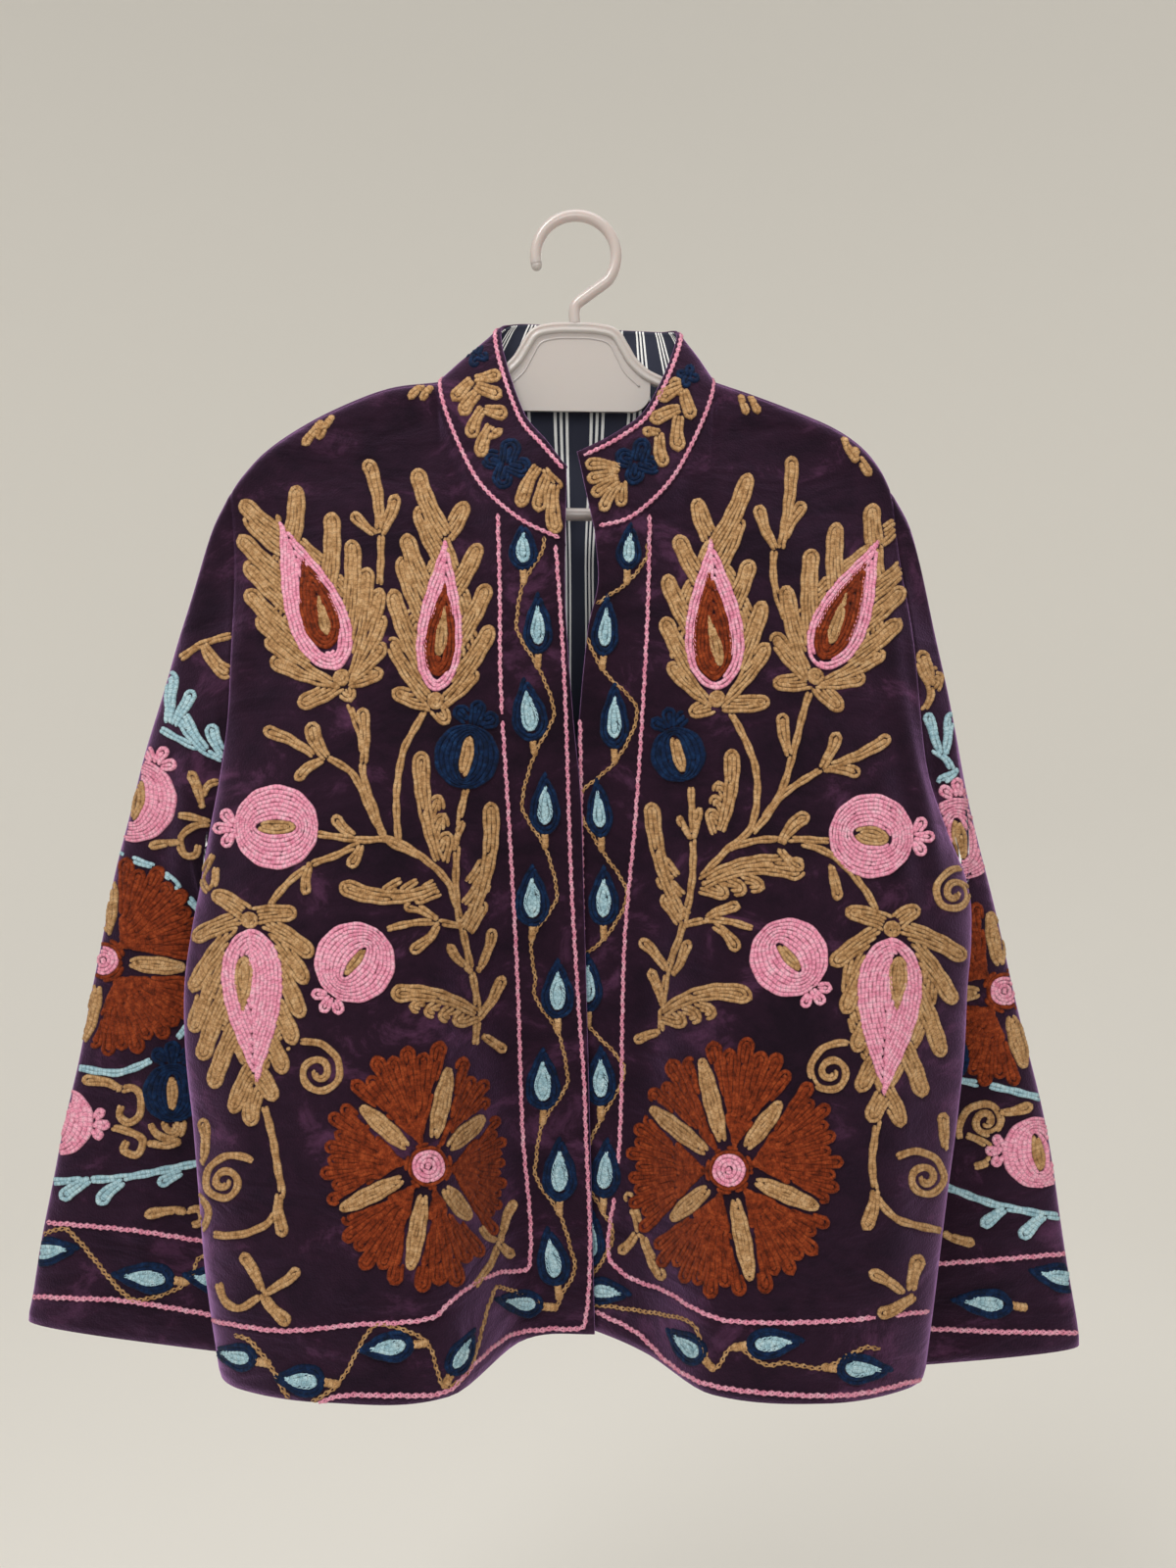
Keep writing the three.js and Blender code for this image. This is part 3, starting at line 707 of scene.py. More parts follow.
def cloth_place(tree):
    """The place on the cloth's own map, and its two parts."""
    place = add_node(tree, "ShaderNodeUVMap", uv_map="cloth").outputs["UV"]
    split = add_node(tree, "ShaderNodeSeparateXYZ")
    tree.links.new(place, split.inputs["Vector"])
    return place, split.outputs["X"], split.outputs["Y"]


def noise(tree, scale, detail=3.0, stretch=None, roughness=0.5, distortion=0.0):
    """Noise over the object's own coordinates, in metres."""
    place = add_node(tree, "ShaderNodeTexCoord")
    source = place.outputs["Object"]
    if stretch is not None:
        mapping = add_node(tree, "ShaderNodeMapping", Scale=stretch)
        tree.links.new(source, mapping.inputs["Vector"])
        source = mapping.outputs["Vector"]
    node = add_node(tree, "ShaderNodeTexNoise", Scale=scale, Detail=detail, Roughness=roughness)
    node.inputs["Distortion"].default_value = distortion
    tree.links.new(source, node.inputs["Vector"])
    return node.outputs["Fac"]


def ramp(tree, source, *stops):
    """A colour ramp: each stop is a place from 0 to 1 and a colour."""
    node = tree.nodes.new("ShaderNodeValToRGB")
    elements = node.color_ramp.elements
    while len(elements) < len(stops):
        elements.new(0.5)
    for element, (place, colour) in zip(elements, stops):
        element.position = place
        element.color = colour
    tree.links.new(source, node.inputs["Fac"])
    return node.outputs["Color"]


def bump(tree, shader, source, strength, distance):
    node = add_node(tree, "ShaderNodeBump", Strength=strength, Distance=distance)
    tree.links.new(source, node.inputs["Height"])
    tree.links.new(node.outputs["Normal"], shader.inputs["Normal"])


def grey(shade):
    return (shade, shade, shade, 1)


def math_node(tree, operation, *values):
    node = add_node(tree, "ShaderNodeMath", operation=operation)
    for socket, value in zip(node.inputs, values):
        if isinstance(value, (int, float)):
            socket.default_value = value
        else:
            tree.links.new(value, socket)
    return node.outputs["Value"]


def multiply(tree, first, second):
    mix = add_node(tree, "ShaderNodeMix", data_type="RGBA", blend_type="MULTIPLY")
    mix.inputs["Factor"].default_value = 1
    tree.links.new(first, mix.inputs[6])
    tree.links.new(second, mix.inputs[7])
    return mix.outputs[2]


# Velvet, by the share of its nap at which each tone stands, and the heights in metres of its relief
VELVET_TONES = ((0.36, linear(14, 5, 12)), (0.55, linear(30, 13, 25)), (0.76, linear(84, 48, 76)))
VELVET_SHEEN = linear(200, 150, 212)
NAP_STRETCH = (0.7, 0.7, 1)
CRUSH_STRETCH = (0.6, 0.6, 1.5)
PILE_HEIGHT = 0.0006
CRUSH_HEIGHT = 0.006

# Lining: its stripes in metres, and its two colours
STRIPE_PITCH = 0.0165
STRIPE_WIDTH = 0.0013
STRIPE_STEP = 0.0026
LINING_TONES = ((0.0, linear(34, 38, 58)), (1.0, linear(252, 252, 250)))


def velvet_material():
    material, tree, shader = new_material("velvet", VELVET_TONES[1][1], 0.95)
    nap = noise(tree, 30, 7, stretch=NAP_STRETCH, roughness=0.72, distortion=0.5)
    tree.links.new(ramp(tree, nap, *VELVET_TONES), shader.inputs["Base Color"])
    set_inputs(shader, Specular_IOR_Level=0.1)
    set_inputs(shader, Sheen_Weight=0.95, Sheen_Roughness=0.44, Sheen_Tint=VELVET_SHEEN)
    pile = math_node(tree, "MULTIPLY", noise(tree, 900, 3), PILE_HEIGHT)
    crush = noise(tree, 24, 3, stretch=CRUSH_STRETCH, distortion=0.8)
    crush = math_node(tree, "MULTIPLY", crush, CRUSH_HEIGHT)
    bump(tree, shader, math_node(tree, "ADD", pile, crush), 0.6, 1)
    return material


def lining_material():
    """Navy cotton with groups of three pale stripes that run down the cloth."""
    material, tree, shader = new_material("lining", linear(20, 22, 30), 0.8)
    _, across, _ = cloth_place(tree)
    across = math_node(tree, "WRAP", across, STRIPE_PITCH, 0)
    total = None
    for stripe in range(3):
        centre = STRIPE_PITCH / 2 + (stripe - 1) * STRIPE_STEP
        away = math_node(tree, "ABSOLUTE", math_node(tree, "SUBTRACT", across, centre))
        inside = math_node(tree, "LESS_THAN", away, STRIPE_WIDTH / 2)
        total = inside if total is None else math_node(tree, "ADD", total, inside)
    tree.links.new(ramp(tree, total, *LINING_TONES), shader.inputs["Base Color"])
    bump(tree, shader, noise(tree, 1400, 2), 0.25, 0.0003)
    return material


def plastic_material():
    material, tree, shader = new_material("hanger_plastic", linear(182, 172, 168), 0.3)
    set_inputs(shader, Coat_Weight=0.35, Coat_Roughness=0.18, Subsurface_Weight=0.08)
    bump(tree, shader, noise(tree, 90, 2), 0.08, 0.0004)
    return material


velvet = velvet_material()
lining = lining_material()
plastic = plastic_material()


def make_cloth():
    """The cut pieces in velvet with their striped insides, each in place of the frame's own."""
    pieces = {}
    for name, panel in panels.items():
        obj = cloth_wall("cloth_" + name, panel, [velvet, lining], 0, WALL, RIM_ROUNDING)
        pieces[name] = placed(obj, name)
    depths = (WALL + LINING_CLEARANCE, WALL + LINING_CLEARANCE + LINING_WALL)
    for name in ("back", "collar"):
        inside = cloth_wall("inside_" + name, panels[name], [lining, lining], *depths, LINING_ROUNDING)
        pieces[name + "_lining"] = placed(inside, name + "_lining")
    return pieces


def placed(obj, node):
    """An object that stands for one of the frame's nodes."""
    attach(obj, "root")
    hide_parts(node)
    return obj


cloth = make_cloth()

# Hanger
HANGER_TILT = math.radians(0.7)
HOOK_RADIUS = 25.5
HOOK_ROD = 3.6
HOOK_END_ANGLE = 194
HOOK_TURN_ANGLE = -42
HOOK_STEP = 8
SPACING = {"hook": 1.5, "plate": 1.5, "line": 2, "rim": 2.5, "bar": 3}
PLATE_THICKNESS = 2.4
PLATE_FOOT_Z = -120.5
PLATE_HALF_FOOT = 48
PLATE_CORNER = 12
RIM_HALF_HEIGHT = 3.5
RIM_HALF_DEPTH = 4.0
GROOVE_DEPTH = 1.1
GROOVE_HALF_HEIGHT = 1.1
GROOVE_FROM = 1
RIM_DEPTH_BLUNTNESS = 0.6
RIM_HEIGHT_BLUNTNESS = 0.8
RIM_SAMPLES = 48
CORNER_SAMPLES = 10
OVAL_SAMPLES = 20
LINE_SAMPLES = 12
BAR_HALF_HEIGHT = 4
LINE_HALF_DEPTH = 1.9
LINE_HALF_HEIGHT = 0.9
LINE_SHRINK = (0.86, 1)
LINE_SHIFT = (0, -6.2)
ARM = table(
    "x z",
    (0, -68),
    (14, -68.5),
    (25, -71.5),
    (31, -80),
    (37, -89.5),
    (48, -98.5),
    (87, -113.5),
    (113, -120.5),
    (138, -130.5),
    (160, -141.5),
    (176, -152),
)
STEM = table("x z", (7, -47.5), (0, -54), (0, -66))
ARM_END = table(
    "x z",
    (176, -152),
    (182, -163),
    (180, -176),
    (168, -184.5),
    (150, -185.5),
    (100, -185.5),
    (0, -185.5),
)


def smooth_path(points, spacing):
    """Points at an even spacing along a smooth curve through the given ones."""
    points = np.asarray(points, float)
    lengths = lengths_along(points)
    count = max(int(lengths[-1] / spacing), 2) + 1
    at = np.linspace(0, lengths[-1], count)
    return stacked(*(curve(lengths, values, at) for values in points.T))


def sweep(name, path, section):
    """A closed section, given by depth and height, swept along a path in the hanger's plane."""
    rings = []
    for (x, z), (ux, uz) in zip(path, left_normals(path)):
        rings.append(stacked(x + section[:, 1] * ux, section[:, 0], z + section[:, 1] * uz))
    index = np.arange(len(path) * len(section)).reshape(len(path), len(section))
    faces = [*grid_quads(index, columns_close=True).tolist(), index[0].tolist(), index[-1].tolist()]
    obj = new_object(name, np.concatenate(rings), faces, [plastic])
    fix_normals(obj)
    return obj


def left_normals(points):
    along = unit(np.gradient(points, axis=0))
    return stacked(-along[:, 1], along[:, 0])


def oval(depth, height, count=OVAL_SAMPLES):
    angle = np.linspace(0, 2 * np.pi, count, endpoint=False)
    return stacked(depth * np.cos(angle), height * np.sin(angle))


def rim_section():
    """The rim's outline: a rounded bar with a shallow groove along its front and its back."""
    angle = np.linspace(0, 2 * np.pi, RIM_SAMPLES, endpoint=False)
    depth = RIM_HALF_DEPTH * np.sign(np.cos(angle)) * np.abs(np.cos(angle)) ** RIM_DEPTH_BLUNTNESS
    height = RIM_HALF_HEIGHT * np.sign(np.sin(angle)) * np.abs(np.sin(angle)) ** RIM_HEIGHT_BLUNTNESS
    groove = GROOVE_DEPTH * np.exp(-((height / GROOVE_HALF_HEIGHT) ** 2))
    return stacked(depth - np.sign(depth) * groove * (np.abs(depth) > GROOVE_FROM), height)


def mirrored(points):
    """The points on the other side of the middle, from the last to the first."""
    return stacked(-points[:, 0], points[:, 1])[::-1]


def both_halves(half, part):
    """A smooth path along a part's left half and then its right one."""
    return smooth_path(np.concatenate([mirrored(half)[:-1], half]), SPACING[part])


def plate_object():
    """The flat plate inside the hanger's shoulders, and the line of the shoulder over its right half."""
    arm = points_in(ARM)
    shoulder = smooth_path(arm[arm[:, 0] <= PLATE_HALF_FOOT], SPACING["plate"])
    turn = np.linspace(0, -np.pi / 2, CORNER_SAMPLES)
    corner_x = PLATE_HALF_FOOT - PLATE_CORNER
    corner_z = PLATE_FOOT_Z + PLATE_CORNER
    corner = stacked(corner_x + PLATE_CORNER * np.cos(turn), corner_z + PLATE_CORNER * np.sin(turn))
    right = np.concatenate([shoulder, corner])
    outline = np.concatenate([right, mirrored(right)[:-1]])
    count = len(outline)
    half = PLATE_THICKNESS / 2
    vertices = [[x, side * half, z] for side in (-1, 1) for x, z in outline]
    faces = [list(range(count)), [count + i for i in range(count)][::-1]]
    for i in range(count):
        j = (i + 1) % count
        faces.append([i, count + i, count + j, j])
    obj = new_object("hanger_plate", vertices, faces, [plastic], smooth=False)
    fix_normals(obj)
    return obj, shoulder


def hook_end(place):
    """A ball that rounds off the hook's rod."""
    bpy.ops.mesh.primitive_uv_sphere_add(
        segments=24, ring_count=12, radius=HOOK_ROD * MM, location=(place[0] * MM, 0, place[1] * MM)
    )
    ball = bpy.context.object
    ball.data.materials.append(plastic)
    return ball


def make_hanger():
    """The one-piece hanger, joined from its plate, rim, bar, hook and raised line."""
    arm = points_in(ARM)
    end = points_in(ARM_END)[::-1]
    angles = np.radians(np.arange(HOOK_END_ANGLE, HOOK_TURN_ANGLE - 1, -HOOK_STEP))
    hook = stacked(HOOK_RADIUS * np.cos(angles), HOOK_ROD - HOOK_RADIUS + HOOK_RADIUS * np.sin(angles))
    plate, shoulder = plate_object()
    shoulder_line = both_halves(shoulder, "line")
    paths = {
        "hanger_rim": (both_halves(arm, "rim"), rim_section()),
        "hanger_bar": (both_halves(end, "bar"), oval(RIM_HALF_DEPTH, BAR_HALF_HEIGHT)),
        "hanger_hook": (
            smooth_path(np.concatenate([hook, points_in(STEM)]), SPACING["hook"]),
            oval(HOOK_ROD, HOOK_ROD),
        ),
        "hanger_line": (
            shoulder_line * LINE_SHRINK + LINE_SHIFT,
            oval(LINE_HALF_DEPTH, LINE_HALF_HEIGHT, LINE_SAMPLES),
        ),
    }
    swept = [sweep(name, path, section) for name, (path, section) in paths.items()]
    parts = [plate, *swept, hook_end(hook[0])]
    bpy.ops.object.select_all(action="DESELECT")
    for part in parts:
        part.select_set(True)
    bpy.context.view_layer.objects.active = plate
    bpy.ops.object.join()
    hanger = bpy.context.object
    hanger.name = "hanger_moulding"
    hanger.data.transform(Matrix.Rotation(HANGER_TILT, 4, "Y"))
    placed(hanger, "hanger")


make_hanger()

# Embroidery: where the motifs lie, in the photograph's pixels from its top left corner
ROW = 3.8
THREAD_RISE = 0.95
THREAD_LIFT = 0.12
SPINE = "tip_x tip_y foot_x foot_y width"
POINTS = "x y"
LEAF = "root_x root_y tip_x tip_y bend width lobes"
FRUIT = "x y radius crown_x crown_y slit_turn slit_length slit_width"
DROP = "x y turn length width"
SPIRAL = "x y radius turn sense"

# Tall flowers: their drops from the inmost out, and the tips of the fingers round them
FLOWERS = {
    "front_left": [
        {
            "drops": table(
                SPINE, (324, 602, 335, 650, 12), (308, 565, 336, 662, 38), (284, 528, 345, 683, 61),
            ),
            "fingers": table(
                POINTS, (246, 510), (302, 495), (250, 524), (338, 522), (244, 546), (359, 550), (250, 573),
                (374, 578), (251, 601), (388, 600), (391, 627), (262, 628), (271, 650), (393, 655),
                (275, 672), (391, 684), (303, 719), (360, 716),
            ),
        },
        {
            "drops": table(
                SPINE, (455, 614, 448, 671, 13), (455, 590, 446, 691, 32), (455, 543, 445, 706, 47),
            ),
            "fingers": table(
                POINTS, (425, 477), (475, 511), (427, 515), (489, 554), (414, 544), (498, 595), (409, 567),
                (502, 638), (400, 601), (398, 650), (487, 683), (400, 704), (459, 738),
            ),
        },
        {
            "drops": table(SPINE, (248, 1038, 250, 975, 19), (263, 1110, 255, 948, 62)),
            "fingers": table(
                POINTS, (304, 933), (216, 911), (196, 959), (320, 976), (313, 1004), (308, 1039),
                (301, 1066), (291, 1096), (196, 1012), (197, 1054), (206, 1083), (217, 1111), (280, 1124),
                (238, 1136), (256, 1150),
            ),
        },
    ],
    "front_right": [
        {
            "drops": table(
                SPINE, (721, 622, 736, 681, 13), (723, 577, 729, 694, 40), (725, 545, 731, 704, 61),
            ),
            "fingers": table(
                POINTS, (764, 483), (711, 508), (755, 526), (691, 545), (766, 570), (679, 586), (779, 613),
                (677, 629), (784, 656), (682, 676), (786, 715), (702, 727),
            ),
        },
        {
            "drops": table(
                SPINE, (865, 600, 846, 659, 13), (886, 568, 838, 673, 37), (898, 547, 836, 682, 57),
            ),
            "fingers": table(
                POINTS, (891, 513), (917, 530), (854, 533), (928, 571), (829, 559), (923, 599), (919, 632),
                (802, 597), (903, 664), (788, 645), (884, 690), (788, 696), (861, 724),
            ),
        },
        {
            "drops": table(SPINE, (914, 1036, 917, 975, 20), (902, 1122, 910, 957, 66)),
            "fingers": table(
                POINTS, (862, 930), (939, 926), (848, 986), (986, 979), (861, 1035), (974, 1025),
                (872, 1074), (961, 1079), (877, 1115), (942, 1120), (888, 1146), (920, 1150),
            ),
        },
    ],
}
BACK_FLOWER = {
    "drops": table(SPINE, (600, 520, 600, 575, 13), (600, 492, 600, 592, 38), (600, 448, 600, 606, 60)),
    "fingers": table(
        POINTS, (572, 388), (628, 388), (556, 424), (644, 424), (545, 462), (655, 462), (540, 500),
        (660, 500), (540, 540), (660, 540), (544, 580), (656, 580), (548, 622), (652, 622),
    ),
}

# Round fruit with a slit and a crown
PINK_FRUIT = {
    "front_left": table(FRUIT, (282, 844, 43, 222, 845, 0, 42, 15), (362, 982, 41, 328, 1032, -52, 38, 10)),
    "front_right": table(
        FRUIT, (889, 853, 43, 950, 854, 10, 38, 20), (805, 977, 40, 838, 1022, 50, 38, 12),
    ),
    "sleeve_left": table(
        FRUIT, (138, 817, 42, 166, 768, -76, 44, 20), (60, 1144, 35, 112, 1148, -74, 40, 13),
    ),
    "sleeve_right": table(
        FRUIT, (979, 856, 42, 977, 804, 80, 44, 15), (1059, 1176, 36, 1010, 1174, 80, 40, 13),
    ),
    "back": table(FRUIT, (600, 760, 42, 600, 704, 90, 40, 14)),
    "sleeve_left_behind": table(FRUIT, (262, 1210, 33, 262, 1166, 90, 36, 12)),
    "sleeve_right_behind": table(FRUIT, (882, 1210, 33, 882, 1166, 90, 36, 12)),
}
NAVY_FRUIT = {
    "front_left": table(FRUIT, (476, 772, 33, 488, 722, -80, 46, 14)),
    "front_right": table(FRUIT, (692, 770, 28, 681, 724, 75, 42, 13)),
    "sleeve_left": table(FRUIT, (176, 1115, 30, 176, 1070, 90, 38, 12)),
    "sleeve_right": table(FRUIT, (962, 1080, 27, 962, 1036, 90, 36, 12)),
    "back": table(FRUIT, (600, 890, 32, 600, 842, 90, 42, 13)),
    "sleeve_left_behind": table(FRUIT, (258, 1056, 27, 258, 1018, 90, 36, 12)),
    "sleeve_right_behind": table(FRUIT, (886, 1056, 27, 886, 1018, 90, 36, 12)),
}

# Rosettes: the middle and its radius, the reach to the left, right, up and down, and the sepals' tips
ROSETTES = {
    "front_left": {
        "middle": (437, 1190, 17),
        "reach": (108, 80, 126, 129),
        "sepals": table(
            POINTS, (459, 1086), (496, 1138), (481, 1246), (418, 1300), (344, 1236), (366, 1127),
        ),
    },
    "front_right": {
        "middle": (744, 1194, 17),
        "reach": (104, 114, 134, 130),
        "sepals": table(
            POINTS, (715, 1076), (799, 1122), (839, 1234), (767, 1311), (683, 1246), (661, 1128),
        ),
    },
    "sleeve_left": {
        "middle": (106, 980, 15),
        "reach": (80, 112, 108, 98),
        "sepals": table(POINTS, (114, 892), (192, 988), (84, 1066), (30, 1010), (44, 920)),
    },
    "sleeve_right": {
        "middle": (1025, 1011, 15),
        "reach": (92, 75, 100, 98),
        "sepals": table(POINTS, (1010, 928), (1088, 968), (1046, 1092), (952, 1016)),
    },
    "back": {
        "middle": (592, 1058, 14),
        "reach": (64, 64, 70, 70),
        "sepals": table(POINTS, (592, 1006), (641, 1042), (622, 1100), (562, 1100), (543, 1042)),
    },
}

# Leaves, some with lobes down one side
LEAVES = {
    "front_left": table(
        LEAF, (387, 540, 374, 468, 0.06, 16, 0), (384, 545, 359, 522, -0.06, 13, 0),
        (388, 545, 404, 504, 0.06, 15, 0), (320, 771, 268, 745, 0.06, 14, 0),
        (334, 773, 318, 736, -0.1, 19, 0), (332, 775, 302, 797, 0.1, 13, 0),
        (371, 779, 369, 721, 0.04, 14, 0), (362, 853, 341, 831, -0.1, 14, 0),
        (368, 862, 354, 885, -0.1, 14, 0), (317, 880, 312, 914, 0.06, 12, 0),
        (448, 878, 430, 766, -0.05, 15, 3), (464, 868, 454, 838, 0.05, 9, 0),
        (465, 868, 473, 836, -0.05, 9, 0), (446, 905, 346, 902, -0.12, 15, -3),
        (474, 948, 500, 818, 0.08, 14, 3), (446, 939, 411, 925, 0.1, 12, 0),
        (448, 942, 417, 971, -0.1, 13, 0), (482, 992, 457, 963, -0.06, 11, 0),
        (487, 992, 503, 946, 0.06, 12, 0), (486, 1034, 398, 1015, 0.1, 15, -4),
        (487, 1040, 513, 995, 0.06, 13, 0), (492, 1056, 517, 1073, 0, 12, 0),
        (206, 1188, 206, 1140, 0.08, 12, 0), (285, 1218, 291, 1262, 0.08, 14, 0),
        (267, 1318, 246, 1279, 0.06, 13, 0), (268, 1320, 306, 1294, 0.06, 12, 0),
        (267, 1320, 297, 1351, 0.06, 14, 0), (511, 1269, 526, 1224, -0.06, 11, 0),
        (508, 1266, 526, 1281, 0.1, 12, 0),
    ),
    "front_right": table(
        LEAF, (797, 556, 808, 465, 0.03, 15, 0), (792, 560, 774, 514, -0.06, 14, 0),
        (797, 560, 822, 512, -0.06, 14, 0), (806, 771, 799, 727, -0.06, 15, 0),
        (838, 784, 855, 746, 0.05, 14, 0), (844, 782, 909, 751, 0.05, 14, 0),
        (840, 785, 878, 791, -0.1, 15, 0), (735, 848, 746, 764, 0.06, 14, -3),
        (698, 938, 665, 818, -0.06, 14, -3), (706, 856, 692, 831, -0.05, 9, 0),
        (707, 856, 713, 822, 0.05, 9, 0), (797, 861, 826, 831, -0.1, 17, 0),
        (796, 866, 822, 886, 0.12, 13, 0), (716, 902, 824, 890, -0.12, 20, 3),
        (848, 882, 856, 919, 0, 13, 0), (719, 938, 756, 924, -0.06, 13, 0),
        (728, 944, 753, 972, -0.1, 14, 0), (681, 992, 652, 958, 0.06, 13, 0),
        (686, 995, 702, 958, 0.06, 12, 0), (676, 1028, 662, 989, 0.06, 12, 0),
        (676, 1034, 768, 1018, -0.14, 16, 3), (674, 1052, 646, 1062, 0, 12, 0),
        (964, 1173, 962, 1135, 0, 13, 0), (893, 1214, 882, 1255, -0.06, 16, 0),
        (930, 1317, 940, 1280, -0.06, 16, 0), (922, 1320, 886, 1298, 0.06, 13, 0),
        (933, 1322, 895, 1342, -0.06, 14, 0), (653, 1263, 638, 1216, 0.06, 12, 0),
        (650, 1257, 631, 1279, -0.06, 12, 0), (656, 1260, 678, 1306, 0.05, 13, 0),
    ),
    "sleeve_left": table(
        LEAF, (208, 657, 238, 690, 0.1, 18, 0), (206, 825, 193, 787, 0.06, 12, 0),
        (184, 860, 151, 865, 0.06, 10, 0), (124, 1112, 83, 1103, 0.1, 12, 0),
        (150, 1166, 186, 1163, 0.1, 10, 0), (190, 1236, 147, 1241, 0.06, 11, 0),
    ),
    "sleeve_right": table(
        LEAF, (950, 700, 938, 664, 0.05, 12, 2), (932, 730, 915, 704, 0.1, 10, 0),
        (1020, 1134, 1054, 1126, 0.1, 12, 0), (962, 1258, 995, 1268, 0.06, 11, 0),
        (996, 1010, 1004, 1012, 0, 10, 0),
    ),
    "back": table(
        LEAF, (596, 960, 562, 932, 0.1, 13, 0), (596, 960, 630, 932, -0.1, 13, 0),
        (592, 1302, 592, 1206, 0.03, 15, 0), (592, 1304, 562, 1244, 0.08, 14, 0),
        (592, 1304, 622, 1244, -0.08, 14, 0), (592, 1306, 556, 1288, 0.1, 13, 0),
        (592, 1306, 628, 1288, -0.1, 13, 0),
    ),
    "sleeve_left_behind": table(
        LEAF, (262, 1160, 262, 1110, 0.03, 14, 0), (262, 1162, 236, 1128, 0.08, 13, 0),
        (262, 1162, 286, 1128, -0.08, 13, 0), (258, 1000, 244, 940, 0.05, 14, 2),
    ),
    "sleeve_right_behind": table(
        LEAF, (882, 1160, 882, 1110, 0.03, 14, 0), (882, 1162, 856, 1128, 0.08, 13, 0),
        (882, 1162, 908, 1128, -0.08, 13, 0), (886, 1000, 896, 940, -0.05, 14, -2),
    ),
}
BLUE_SPRIGS = {
    "sleeve_left": table(
        LEAF, (172, 738, 176, 684, 0, 15, 0), (177, 740, 198, 704, 0, 14, 0),
        (210, 766, 184, 726, -0.05, 18, 0), (230, 774, 214, 738, -0.05, 16, 0),
        (92, 1204, 62, 1224, 0.06, 16, 0), (126, 1205, 100, 1229, 0.06, 16, 0),
        (186, 1196, 162, 1210, 0.06, 14, 0),
    ),
    "sleeve_right": table(
        LEAF, (959, 770, 946, 726, 0, 12, 0), (965, 770, 970, 726, 0, 12, 0), (978, 786, 956, 800, 0, 12, 0),
        (1026, 1234, 1002, 1253, 0.06, 14, 0), (1066, 1240, 1042, 1265, 0.06, 15, 0),
    ),
}

# Buds of the borders, in the order in which their vine meets them
BUDS = {
    "front_left": table(
        DROP, (534, 556, 0, 52, 30), (549, 634, 0, 68, 30), (539, 722, -8, 70, 37), (556, 818, 0, 68, 32),
        (543, 912, 0, 68, 36), (569, 1007, 0, 66, 34), (554, 1099, 0, 68, 36), (571, 1191, 0, 70, 36),
        (563, 1280, -10, 66, 34), (528, 1329, -82, 54, 28), (473, 1378, 28, 58, 26),
        (392, 1375, -96, 62, 32), (304, 1408, -84, 56, 34), (238, 1383, -76, 50, 28),
    ),
    "front_right": table(
        DROP, (642, 556, 4, 52, 26), (618, 636, 4, 68, 28), (627, 728, 0, 74, 30), (611, 822, -4, 66, 27),
        (616, 912, 0, 66, 32), (600, 1000, 0, 66, 30), (613, 1096, 0, 66, 32), (618, 1190, 4, 66, 32),
        (604, 1262, 4, 60, 28), (622, 1318, 96, 52, 28), (698, 1371, -50, 54, 30), (793, 1370, 84, 64, 32),
        (884, 1397, 92, 62, 32),
    ),
    "sleeve_left": table(DROP, (54, 1276, 84, 62, 30), (144, 1303, -84, 70, 32), (212, 1305, -80, 60, 30)),
    "sleeve_right": table(DROP, (1000, 1329, -84, 68, 30), (1076, 1302, -78, 62, 30)),
    "sleeve_left_behind": table(DROP, (272, 1312, -84, 54, 28)),
    "sleeve_right_behind": table(DROP, (930, 1326, 84, 54, 28), (868, 1328, 84, 54, 28)),
    "back": table(
        DROP, (262, 1374, -86, 56, 30), (346, 1374, -94, 58, 30), (430, 1374, -86, 58, 30),
        (514, 1374, -94, 58, 30), (600, 1374, 0, 50, 30), (686, 1374, 86, 58, 30), (770, 1374, 94, 58, 30),
        (854, 1374, 86, 58, 30), (938, 1374, 94, 56, 30),
    ),
}
SPIRALS = {
    "front_left": table(SPIRAL, (325, 1094, 22, 0, -1), (229, 1206, 19, 180, 1), (196, 1244, 14, 60, -1)),
    "front_right": table(SPIRAL, (848, 1094, 21, 180, 1), (944, 1202, 19, 0, -1), (974, 911, 19, 190, 1)),
    "sleeve_left": table(SPIRAL, (176, 1148, 12, 40, 1)),
    "sleeve_right": table(SPIRAL, (1006, 1144, 17, 290, -1)),
    "back": table(SPIRAL, (520, 980, 22, 60, 1), (680, 980, 22, 120, -1)),
}

